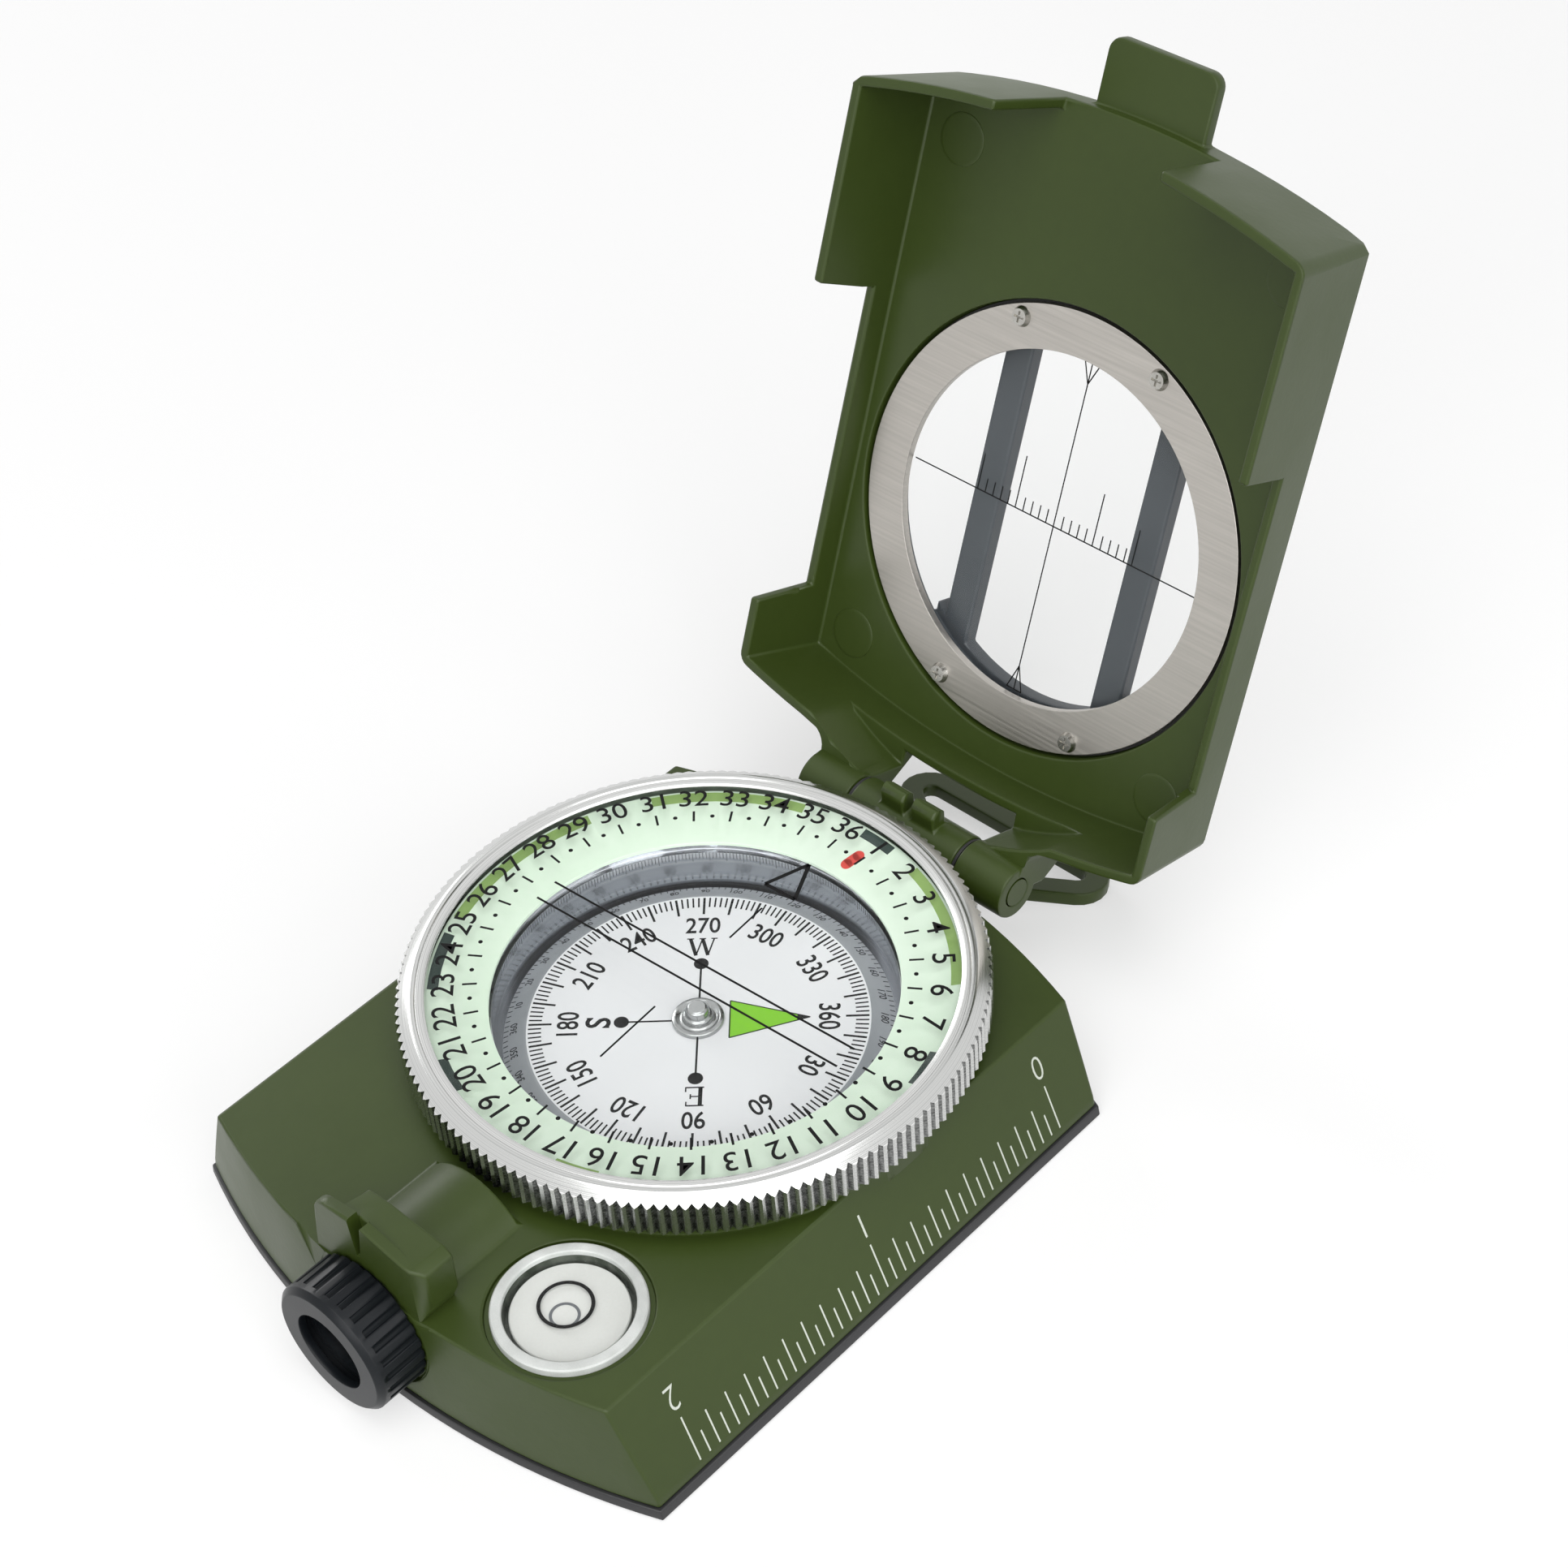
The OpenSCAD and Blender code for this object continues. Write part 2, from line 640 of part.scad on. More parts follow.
module base_housing() {
    color(olive) difference() {
        union() {
            difference() {
                union() {
                    wedge(plate_t, top_z, 0);
                    ring(neck_r + seat_step, 0, top_z - deck_t, bezel_z - face_gap);
                    ring(neck_r, 0, top_z - deck_t, neck_top);
                    intersection() {
                        sight_rod(tube_outer, front_reach - bracket_back, tube_end);
                        translate([-long / 2, -long, plate_t]) cube([long, long, long]);
                    }
                    sight_bracket();
                }
                translate([0, hinge_y, hinge_z])
                    cross_rod(barrel_r + barrel_gap, -barrel_half - barrel_end_gap,
                        barrel_half + barrel_end_gap);
                housing_hollow();
            }
            hinge_root();
            loop_ears();
        }
        // Capsule well, sight bore and passage, level recess
        ring(well_r, 0, 0, long);
        sight_rod(tube_r + seat_gap, long, tube_end);
        sight_rod(window_w, tube_end + cut, 0);
        sight_rod(eye_r + eye_room, long, seat_y);
        translate([level_x, -level_y, level_floor])
            cylinder(h = long, r = level_r + level_gap);
        // Groove of the snap ring
        ring(neck_r + cut, neck_r - snap_bite - seat_gap, snap_z - snap_t / 2 - seat_gap,
            snap_z + snap_t / 2 + seat_gap);
        translate([0, hinge_y, hinge_z]) cross_rod(pin_r, -long / 2, long / 2);
        translate([0, loop_y, loop_z]) cross_rod(loop_pin_r, -long / 2, long / 2);
        at_plate_screws() cylinder(h = plate_t + plate_screw_len, r = plate_screw_r);
    }
}

module bottom_plate() {
    color(black) difference() {
        wedge(0, plate_t, plate_lip);
        at_plate_screws() {
            translate([0, 0, -cut])
                cylinder(h = cut + plate_head_sunk, r = 2 * plate_screw_r + seat_gap);
            translate([0, 0, plate_head_sunk])
                cylinder(h = plate_screw_r, r1 = 2 * plate_screw_r + seat_gap, r2 = plate_screw_r + seat_gap);
            cylinder(h = 2 * plate_t, r = plate_screw_r + seat_gap);
        }
    }
}

module plate_screws() {
    color(steel) at_plate_screws() difference() {
        translate([0, 0, plate_head_sunk]) {
            cylinder(h = plate_screw_r, r1 = 2 * plate_screw_r, r2 = plate_screw_r);
            cylinder(h = plate_t + plate_screw_len - plate_shank_short, r = plate_screw_r - bore_gap);
        }
        cross_slot(plate_cross_l, plate_cross_w, 0);
    }
}

module capsule_cup() {
    color(silver) difference() {
        ring(cup_r + cup_wall, 0, plate_t, neck_top);
        ring(cup_r, 0, floor_z, long);
        ring(cup_r + capsule_ledge, 0, neck_top - capsule_glass_t, long);
        sight_rod(window_w, long, 0);
        sight_rod(window_w + window_seat, cup_r + cup_wall + cut, cup_r + window_in);
    }
}

module capsule_glass() {
    color(clear) ring(cup_r + capsule_ledge - seat_gap, 0, neck_top - capsule_glass_t, neck_top);
}

module sight_window() {
    color(clear) sight_rod(window_w + window_seat - seat_gap, cup_r + window_in + window_t,
        cup_r + window_in);
}

// Post with a foot and a long point
module pivot_post() {
    color(brassy) rotate_extrude() polygon([
        [0, floor_z], [post_foot_r, floor_z], [post_foot_r, floor_z + post_foot_h],
        [post_r, floor_z + post_foot_h + post_foot_slope], [post_r, card_z - post_taper],
        [post_tip_r, post_tip - post_tip_r], [0, post_tip]]);
}

module lume_ring() {
    low = neck_top;
    color(lume) rotate_extrude() polygon([
        [cup_r - lume_inset, low], [rim_open_r + lume_out, low],
        [rim_open_r + lume_out, low + lume_edge_t + lume_rise],
        [rim_open_r, low + lume_edge_t + lume_rise], [cup_r - lume_inset, low + lume_edge_t]]);
}

module bezel_snap_ring() {
    color(steel) difference() {
        ring(bore_r + snap_bite, neck_r - snap_bite, snap_z - snap_t / 2, snap_z + snap_t / 2);
        translate([-1, -long, 0]) cube([2, long, long]);
    }
}

// White tray of the level: flat disc with a sloped wall
module level_tray() {
    r = level_r - level_wall - seat_gap;
    color("white") translate([level_x, -level_y, 0]) rotate_extrude() polygon([
        [0, level_floor], [r, level_floor], [r, level_top - level_tray_drop],
        [r - level_tray_edge, level_top - level_tray_drop],
        [level_disc_r, level_floor + level_disc_h], [0, level_floor + level_disc_h]]);
}

// Clear cap of the level, over the tray
module level_vial() {
    r = level_r - level_wall;
    color(clear) translate([level_x, -level_y, 0]) rotate_extrude() polygon([
        [r, level_floor], [level_r, level_floor], [level_r, level_top - level_bevel],
        [level_r - level_bevel, level_top], [0, level_top], [0, level_top - level_roof],
        [r, level_top - level_roof]]);
}

// Fixed tube in the housing, with the spigot that the eyepiece ring turns on
module sight_tube() {
    color(brassy) difference() {
        union() {
            sight_rod(tube_r, seat_y, tube_end);
            sight_rod(spigot_r, spigot_end, seat_y);
        }
        sight_rod(cell_r + run_gap, long, cell_front - cell_l - cell_travel);
        sight_rod(tube_hole_r, long, 0);
        sight_rod(field_r, tube_end + field_in + field_t, 0);
    }
}

module field_lens() {
    color(clear) sight_rod(field_r - seat_gap, tube_end + field_in + field_t, tube_end + field_in);
}

// Knurled ring that turns on the spigot and drives the lens cell
module eyepiece_ring() {
    color(black) difference() {
        union() {
            sight_rod(eye_r, eye_face - eye_bevel, eye_back);
            translate([0, -eye_face, sight_z]) rotate([-90, 0, 0])
                cylinder(h = eye_bevel, r1 = eye_r - eye_bevel, r2 = eye_r);
        }
        sight_rod(spigot_r + run_gap, spigot_end + face_gap, 0);
        sight_rod(eye_hole_r, long, 0);
        for (i = [1 : eye_grooves]) translate([0, 0, sight_z]) rotate([0, i * 360 / eye_grooves, 0])
            translate([0, -eye_face + groove_start, eye_r + eye_groove_r * groove_lift]) rotate([-90, 0, 0])
                cylinder(h = eye_l, r = eye_groove_r, $fn = 24);
    }
}

module eyepiece_cell() {
    color(black) difference() {
        sight_rod(cell_r, cell_front, cell_front - cell_l);
        sight_rod(cell_r - cell_lip, long, cell_front - cell_pocket);
        sight_rod(cell_r - cell_wall, long, 0);
    }
}

// Lens with both faces bulging
module eyepiece_lens() {
    r = cell_r - cell_lip - seat_gap;
    half = asin(r / lens_ball_r);
    color(clear) translate([0, -cell_front + lens_back, sight_z]) rotate([-90, 0, 0])
        rotate_extrude() polygon(concat([[0, 0], [0, lens_t]],
            arc(0, lens_t - lens_ball_r, lens_ball_r, 90, 90 - half, 6),
            arc(0, lens_ball_r, lens_ball_r, -90 + half, -90, 6)));
}

module lens_retainer() {
    color(black) difference() {
        sight_rod(cell_r - cell_lip - seat_gap, cell_front, cell_front - retainer_t);
        sight_rod(cell_r - cell_wall, long, 0);
    }
}

module hinge_pin() {
    color(steel) translate([0, hinge_y, hinge_z]) cross_rod(pin_r, -barrel_half, barrel_half);
}

module hinge_washers() {
    color(black) translate([0, hinge_y, hinge_z]) for (s = [-1, 1])
        translate([s * (knuckle_half + washer_t / 2), 0, 0]) difference() {
            cross_rod(barrel_r - washer_in, -washer_t / 2, washer_t / 2);
            cross_rod(pin_r, -washer_t, washer_t);
        }
}

module loop_pin() {
    half = loop_neck + face_gap + ear_t + loop_pin_over;
    color(steel) translate([0, loop_y, loop_z]) cross_rod(loop_pin_r, -half, half);
}

// Knurled ring: a turned profile cut by a toothed prism
module bezel_ring() {
    rim_r = rim_open_r + rim_slope_w;
    color(silver) intersection() {
        difference() {
            rotate_extrude() polygon([
                [bore_r, bezel_z], [bezel_r, bezel_z], [bezel_r, band_top], [crest_r, crest_z],
                [rim_r + rim_edge, crest_z - rim_crest_drop],
                [rim_r, crest_z - rim_crest_drop - rim_edge],
                [rim_open_r, crest_z - rim_drop], [rim_open_r, glass_top], [bore_r, glass_top]]);
            ring(bore_r + snap_bite + seat_gap, 0, snap_z - snap_t / 2 - seat_gap,
                snap_z + snap_t / 2 + seat_gap);
        }
        translate([0, 0, bezel_z - cut]) linear_extrude(height = band_h + shoulder_h + 2 * cut) polygon([
            for (i = [0 : 2 * teeth - 1]) let (a = i * 180 / teeth,
                r = bezel_r + tooth_over - (i % 2) * tooth_depth) [r * cos(a), r * sin(a)]]);
    }
}

module bezel_glass() {
    color(clear) ring(bore_r - seat_gap, 0, glass_low, glass_top);
}

module compass_card() {
    color("white") rotate([0, 0, card_north])
        ring(card_r, jewel_r + cap_shank_t + seat_gap, card_z - card_t, card_z);
}

module card_skirt() {
    outer = card_r + skirt_w;
    color(steel) rotate([0, 0, card_north]) rotate_extrude() polygon([
        [card_r, card_z], [card_r + skirt_flat, card_z], [outer, card_z - skirt_drop],
        [outer, card_z - skirt_drop - card_t], [card_r, card_z - card_t]]);
}

module card_magnets() {
    color(steel) rotate([0, 0, card_north]) for (s = [-1, 1])
        translate([-magnet_l / 2, s * magnet_x - magnet_w / 2, card_z - card_t - magnet_t])
            cube([magnet_l, magnet_w, magnet_t]);
}

// Cap in the middle of the card, which holds the jewel
module card_cap() {
    step = card_z + cap_step_h;
    round_z = card_z + cap_h - cap_round;
    edge = cap_top_r + cap_round / 2;
    color(brassy) rotate_extrude() polygon(concat(
        [[jewel_r, card_z - cap_shank_l], [jewel_r + cap_shank_t, card_z - cap_shank_l],
            [jewel_r + cap_shank_t, card_z], [cap_foot_r, card_z], [cap_foot_r, step - cap_bevel],
            [cap_foot_r - cap_bevel, step], [edge + cap_taper, step]],
        arc(edge - cap_round, round_z, cap_round, 0, 90, 5),
        [[0, card_z + cap_h], [0, jewel_top], [jewel_r, jewel_top]]));
}

module card_jewel() {
    color("#c04a5a") rotate_extrude() polygon([
        [0, jewel_top - jewel_roof], [0, jewel_top], [jewel_r, jewel_top],
        [jewel_r, jewel_top - jewel_h], [jewel_mouth_r, jewel_top - jewel_h],
        [jewel_seat_r, jewel_top - jewel_roof]]);
}

// Turns a child from the lid's own frame, at the ring's middle, to its open place
module in_lid() {
    translate([0, hinge_y, hinge_z]) rotate([180 - lid_open, 0, 0])
        translate([0, lid_v, -lid_d]) children();
}

// The lid's outer form between depths a and b, grown by g
module lid_form(a, b, g) {
    intersection() {
        rotate([90, 0, 0]) linear_extrude(height = 2 * long, center = true) polygon([
            [-lid_w(a) - g, a], [lid_w(a) + g, a], [lid_w(b) + g, b], [-lid_w(b) - g, b]]);
        translate([0, lid_end - lid_end_bow, a])
            cylinder(h = b - a, r1 = lid_end_bow - lid_lean(a) + g, r2 = lid_end_bow - lid_lean(b) + g);
        translate([0, lid_rear_bow - lid_rear, a]) cylinder(h = b - a, r = lid_rear_bow + g);
    }
}

// Two arms that run from the rear wall out to the lid's knuckles, rounded into the wall
module hinge_arms() {
    foot = [-lid_rear + arm_foot_in, arm_foot_d];
    axis = [-lid_v, lid_d];
    tip = touch(foot, axis, barrel_r, 1);
    intersection() {
        rotate([90, 0, 90]) linear_extrude(height = long, center = true) polygon([
            foot, tip, axis, [barrel_r - lid_v, lid_depth], [bite - lid_rear, lid_depth],
            [bite - lid_rear, arm_foot_d]]);
        for (s = [-1, 1]) linear_extrude(height = 2 * lid_depth) polygon([
            for (p = concat([[knuckle_from, lid_rear - lid_wall / 2], [knuckle_from, lid_v],
                [barrel_half, lid_v]],
                arc(barrel_half + arm_fillet, lid_v - barrel_r, arm_fillet, 180, 270, 6)))
                [s * p.x, -p.y]]);
    }
}

// Room for the bezel in the rear wall and the arms of the shut lid, over a lip
module bezel_relief() {
    translate([0, window_shift, lip_d]) cylinder(h = long, r = bezel_r + relief_gap);
}

// Guard bars over the window's outside, joined by a curved pad at both ends
module window_guard() {
    reach = bar_x + bar_w / 2 + pad_side;
    for (s = [-1, 1]) translate([s * bar_x, 0, 0]) rotate([90, 0, 90])
        linear_extrude(height = bar_w, center = true) polygon([
            [-bar_half, cut - lid_back], [-bar_half, -lid_back],
            [bar_slope - bar_half, -lid_back - bar_h], [bar_half - bar_slope, -lid_back - bar_h],
            [bar_half, -lid_back], [bar_half, cut - lid_back]]);
    intersection() {
        ring(pad_out_r, pad_in_r, -lid_back - bar_h, cut - lid_back);
        translate([-reach, -long / 2, -long / 2]) cube([2 * reach, long, long]);
    }
}

// Thumb tab with two rounded corners
module thumb_tab() {
    corner_x = tab_half - tab_corner;
    corner_y = lid_end + tab_l - tab_corner;
    translate([0, 0, -tab_drop - tab_t]) linear_extrude(height = tab_t) polygon(concat(
        arc(corner_x, corner_y, tab_corner, 0, 90, 6), arc(-corner_x, corner_y, tab_corner, 90, 180, 6),
        [[-tab_half, lid_end - 2 * bite], [tab_half, lid_end - 2 * bite]]));
}

// Cuts of the lid's stepped side walls and of the gap in its end wall
module wall_gaps() {
    over = lid_depth + cut;
    rotate([90, 0, 90]) linear_extrude(height = 2 * long, center = true) polygon([
        [-low_hinge, low_wall], [low_end, low_wall], [low_end + low_end_slope, over],
        [-low_hinge - low_hinge_slope, over]]);
    // The gap clears the bracket
    translate([0, lid_end + bite, 0]) rotate([90, 0, 0]) linear_extrude(height = 4 * bite) polygon([
        [-end_gap_half, lid_floor], [end_gap_half, lid_floor], [end_gap_half + end_gap_slope, over],
        [-end_gap_half - end_gap_slope, over]]);
}

// Lid casting: back, stepped walls, lip, arms with their knuckles, thumb tab and guard bars
module lid() {
    color(olive) in_lid() difference() {
        union() {
            difference() {
                union() {
                    difference() {
                        lid_form(-lid_back, lid_depth, 0);
                        lid_form(lid_floor, lid_depth + bore_gap, -lid_wall);
                        wall_gaps();
                    }
                    hinge_arms();
                }
                bezel_relief();
            }
            for (a = [-barrel_half, knuckle_from]) translate([0, -lid_v, lid_d])
                cross_rod(barrel_r, a, a + barrel_half - knuckle_from);
            thumb_tab();
            window_guard();
        }
        // Window, glass pocket, ring recess, screw and pin bores
        ring(cast_window_r, 0, -lid_back, long);
        ring(lid_glass_r + seat_gap, 0, -ring_t - gasket_t - lid_glass_t, long);
        ring(ring_r + recess_gap, 0, -ring_t - gasket_t, long);
        at_ring_screws() translate([0, 0, -lid_back + ring_floor]) cylinder(h = long, r = ring_shank_r);
        translate([0, -lid_v, lid_d]) cross_rod(pin_r + run_gap, -long, long);
    }
}

// Puts a child at each of the four ring screws, in the lid's frame
module at_ring_screws() {
    for (s = [-1, 1], t = [-1, 1]) translate([s * ring_screw_x, t * ring_screw_y, 0]) children();
}

module lid_glass() {
    color(clear) in_lid() ring(lid_glass_r, 0, -ring_t - gasket_t - lid_glass_t, -ring_t - gasket_t);
}

module lid_gasket() {
    color(black) in_lid() difference() {
        ring(ring_r + gasket_out, window_r + gasket_in, -ring_t - gasket_t, -ring_t);
        at_ring_screws() translate([0, 0, -lid_back]) cylinder(h = 2 * lid_back, r = ring_shank_r + seat_gap);
    }
}

module lid_ring() {
    color(silver) in_lid() difference() {
        ring(ring_r, window_r, -ring_t, 0);
        at_ring_screws() translate([0, 0, -lid_back]) cylinder(h = 2 * lid_back, r = ring_shank_r + seat_gap);
    }
}

module ring_screws() {
    low = -lid_back + ring_floor + seat_gap;
    color(steel) in_lid() at_ring_screws() difference() {
        union() {
            cylinder(h = ring_head_h, r1 = ring_head_r, r2 = ring_head_r - ring_head_slope);
            translate([0, 0, low]) cylinder(h = ring_head_h / 2 - low, r = ring_shank_r - bore_gap);
        }
        cross_slot(ring_cross_l, ring_cross_w, ring_head_h / 2);
    }
}

// Flat triangular loop with round corners and an eye round its pin
module lanyard_loop() {
    corner = [loop_half - loop_corner, loop_l - loop_corner];
    neck = [loop_neck, loop_neck + loop_neck_l];
    side = touch(neck, corner, loop_corner, -1);
    a = atan2(side.y - corner.y, side.x - corner.x);
    lean = atan2(side.y - neck.y, side.x - neck.x);
    apex = neck.y + loop_band / cos(lean) - neck.x * tan(lean);
    color(olive) translate([0, loop_y, loop_z]) rotate([-loop_droop, 0, 0]) difference() {
        union() {
            translate([0, 0, -loop_t / 2]) linear_extrude(height = loop_t) difference() {
                polygon(concat([[-neck.x, 0], [neck.x, 0], neck],
                    arc(corner.x, corner.y, loop_corner, a, 90, 8),
                    arc(-corner.x, corner.y, loop_corner, 90, 180 - a, 8),
                    [[-neck.x, neck.y]]));
                polygon(concat([[0, apex]],
                    arc(corner.x, corner.y, loop_corner - loop_band, a, 90, 6),
                    arc(-corner.x, corner.y, loop_corner - loop_band, 90, 180 - a, 6)));
            }
            cross_rod(eye_barrel_r, -loop_neck, loop_neck);
        }
        cross_rod(loop_pin_r + run_gap, -long, long);
    }
}

base_housing();
bottom_plate();
plate_screws();
capsule_cup();
capsule_glass();
sight_window();
pivot_post();
lume_ring();
bezel_snap_ring();
level_tray();
level_vial();
sight_tube();
field_lens();
hinge_pin();
hinge_washers();
loop_pin();
bezel_ring();
bezel_glass();
compass_card();
card_skirt();
card_magnets();
card_cap();
card_jewel();
eyepiece_ring();
eyepiece_cell();
eyepiece_lens();
lens_retainer();
lid();
lid_glass();
lid_gasket();
lid_ring();
ring_screws();
lanyard_loop();
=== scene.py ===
"""Looks of a folding sighting compass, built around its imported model.

Each sub-assembly is a class that dresses the model's nodes and adds their print, edges and finish.
Fields and arguments that are lengths are in millimetres. Meshes are in metres, in the model's frame.
"""

import json
import logging
import math
from dataclasses import dataclass
from enum import Enum

import bmesh
import bpy
from mathutils import Matrix, Vector


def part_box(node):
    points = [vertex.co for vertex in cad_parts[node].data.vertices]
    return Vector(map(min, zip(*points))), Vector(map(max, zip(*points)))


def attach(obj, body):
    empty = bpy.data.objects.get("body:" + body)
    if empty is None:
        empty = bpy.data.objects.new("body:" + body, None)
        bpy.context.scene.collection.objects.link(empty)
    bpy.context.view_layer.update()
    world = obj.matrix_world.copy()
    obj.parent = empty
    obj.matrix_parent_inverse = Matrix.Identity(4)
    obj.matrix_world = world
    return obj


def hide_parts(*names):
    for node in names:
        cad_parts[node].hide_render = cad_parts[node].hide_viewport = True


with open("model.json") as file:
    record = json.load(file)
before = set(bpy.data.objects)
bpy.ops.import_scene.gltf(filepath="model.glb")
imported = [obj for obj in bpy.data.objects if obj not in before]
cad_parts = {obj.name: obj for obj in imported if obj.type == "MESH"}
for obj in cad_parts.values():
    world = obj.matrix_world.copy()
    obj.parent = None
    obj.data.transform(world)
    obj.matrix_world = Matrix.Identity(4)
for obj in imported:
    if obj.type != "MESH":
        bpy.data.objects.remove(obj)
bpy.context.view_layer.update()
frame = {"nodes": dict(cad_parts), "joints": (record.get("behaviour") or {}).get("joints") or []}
LOG = logging.getLogger("compass")
MM = 0.001
Colour = tuple[float, float, float]
Point = tuple[float, float]


class Body(Enum):
    """The bodies that new pieces ride on."""

    HOUSING = "housing"
    BEZEL = "bezel"
    CARD = "card"
    EYEPIECE = "eyepiece"
    LID = "lid"
    LOOP = "loop"


class Slot(Enum):
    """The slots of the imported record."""

    OLIVE = "olive_paint"
    BLACK_PLATE = "black_plate"
    ANODISED = "black_anodised"
    BRIGHT = "bright_metal"
    BRUSHED = "brushed_metal"
    BRASS = "brass"
    GLASS = "clear_glass"
    LUME = "lume"
    PRINT = "white_print"
    SKIRT = "grey_skirt"


class Pattern(Enum):
    """How a metal was worked, which sets the lines in its surface."""

    PLAIN = "plain"
    TURNED = "turned"
    BRUSHED = "brushed"


# Shader groups


class GroupBuilder:
    """Builds one shader node group with named inputs and outputs."""

    NOISE_REACH = (0.3, 0.7)

    def __init__(self, name: str, inputs: dict[str, float | Colour | None], outputs: tuple[str, ...]) -> None:
        """Makes the empty group.

        Args:
            name: Name of the group.
            inputs: Default of each input; None makes a vector input and a tuple a colour input.
            outputs: Names of the outputs; one that ends in Color is a colour, the others are values.
        """
        self.tree = bpy.data.node_groups.new(name, "ShaderNodeTree")
        for key, value in inputs.items():
            kind = "Vector" if value is None else "Color" if isinstance(value, tuple) else "Float"
            socket = self.tree.interface.new_socket(key, in_out="INPUT", socket_type=f"NodeSocket{kind}")
            if kind == "Float":
                socket.default_value = value
            if kind == "Color":
                socket.default_value = (*value, 1.0)
        for key in outputs:
            kind = "Color" if key.endswith("Color") else "Float"
            self.tree.interface.new_socket(key, in_out="OUTPUT", socket_type=f"NodeSocket{kind}")
        self.source = self.tree.nodes.new("NodeGroupInput")
        self.sink = self.tree.nodes.new("NodeGroupOutput")

    def add(self, kind: str, **values: object) -> bpy.types.Node:
        """Adds a node and sets its own properties."""
        node = self.tree.nodes.new(kind)
        for key, value in values.items():
            setattr(node, key, value)
        return node

    def link(self, start: bpy.types.NodeSocket, end: bpy.types.NodeSocket) -> None:
        """Joins two sockets."""
        self.tree.links.new(start, end)

    def feed(self, slot: bpy.types.NodeSocket, value: object) -> None:
        """Sets a socket to a number, or joins another socket to it."""
        if isinstance(value, (int, float)):
            slot.default_value = value
        else:
            self.link(value, slot)

    def math(self, operation: str, a: object, b: object) -> bpy.types.NodeSocket:
        """Adds a Math node.

        Args:
            operation: The node's operation.
            a: First number or socket.
            b: Second number or socket.

        Returns:
            The node's result.
        """
        node = self.add("ShaderNodeMath", operation=operation)
        for slot, value in zip(node.inputs, (a, b)):
            self.feed(slot, value)
        return node.outputs[0]

    def noise(self, vector: bpy.types.NodeSocket, scale: object, detail: float) -> bpy.types.NodeSocket:
        """Adds a noise texture and returns its value."""
        node = self.add("ShaderNodeTexNoise")
        node.inputs["Detail"].default_value = detail
        self.link(vector, node.inputs["Vector"])
        self.feed(node.inputs["Scale"], scale)
        return node.outputs["Fac"]

    def spread(self, value: bpy.types.NodeSocket, low: object, high: object) -> bpy.types.NodeSocket:
        """Stretches a noise value, which stays near its middle, over low to high."""
        node = self.add("ShaderNodeMapRange")
        node.inputs["From Min"].default_value, node.inputs["From Max"].default_value = self.NOISE_REACH
        self.link(value, node.inputs["Value"])
        self.feed(node.inputs["To Min"], low)
        self.feed(node.inputs["To Max"], high)
        return node.outputs["Result"]


def grain_group() -> bpy.types.NodeTree:
    """Orange peel of sprayed paint or the grain of a moulding, as a height."""
    g = GroupBuilder("fine_grain", {"Vector": None, "Scale": 900.0, "Swell": 0.4}, ("Height",))
    fine = g.noise(g.source.outputs["Vector"], g.source.outputs["Scale"], 3.0)
    coarse = g.noise(g.source.outputs["Vector"], g.math("MULTIPLY", g.source.outputs["Scale"], 0.22), 1.0)
    swell = g.math("MULTIPLY", coarse, g.source.outputs["Swell"])
    g.link(g.math("ADD", fine, swell), g.sink.inputs["Height"])
    return g.tree


def drift_group() -> bpy.types.NodeTree:
    """Slow change between two colours over a surface, with a little fine speckle."""
    g = GroupBuilder(
        "tone_drift",
        {"Vector": None, "Scale": 40.0, "Deep": (0.1, 0.1, 0.1), "Pale": (0.2, 0.2, 0.2)},
        ("Color",),
    )
    slow = g.noise(g.source.outputs["Vector"], g.source.outputs["Scale"], 2.0)
    quick = g.noise(g.source.outputs["Vector"], g.math("MULTIPLY", g.source.outputs["Scale"], 30.0), 2.0)
    both = g.math("ADD", g.math("MULTIPLY", slow, 0.75), g.math("MULTIPLY", quick, 0.25))
    mix = g.add("ShaderNodeMix", data_type="RGBA")
    g.link(g.spread(both, 0.0, 1.0), mix.inputs["Factor"])
    g.link(g.source.outputs["Deep"], mix.inputs["A"])
    g.link(g.source.outputs["Pale"], mix.inputs["B"])
    g.link(mix.outputs["Result"], g.sink.inputs["Color"])
    return g.tree


def handling_group() -> bpy.types.NodeTree:
    """Uneven gloss that hands and cloths leave, as a roughness between two values."""
    inputs = {"Vector": None, "Scale": 60.0, "Low": 0.3, "High": 0.4}
    g = GroupBuilder("handled_gloss", inputs, ("Roughness",))
    cloud = g.noise(g.source.outputs["Vector"], g.source.outputs["Scale"], 4.0)
    g.link(g.spread(cloud, g.source.outputs["Low"], g.source.outputs["High"]), g.sink.inputs["Roughness"])
    return g.tree


def turning_group() -> bpy.types.NodeTree:
    """Fine rings that a lathe tool leaves about the local Z axis, as a height and a mask."""
    g = GroupBuilder("turning_rings", {"Vector": None, "Scale": 5000.0}, ("Height", "Mask"))
    split = g.add("ShaderNodeSeparateXYZ")
    g.link(g.source.outputs["Vector"], split.inputs[0])
    x, y = split.outputs["X"], split.outputs["Y"]
    reach = g.math("SQRT", g.math("ADD", g.math("MULTIPLY", x, x), g.math("MULTIPLY", y, y)), 0.0)
    join = g.add("ShaderNodeCombineXYZ")
    g.link(reach, join.inputs["X"])
    g.link(split.outputs["Z"], join.inputs["Y"])
    rings = g.noise(join.outputs[0], g.source.outputs["Scale"], 3.0)
    g.link(rings, g.sink.inputs["Height"])
    g.link(g.spread(rings, 0.0, 1.0), g.sink.inputs["Mask"])
    return g.tree


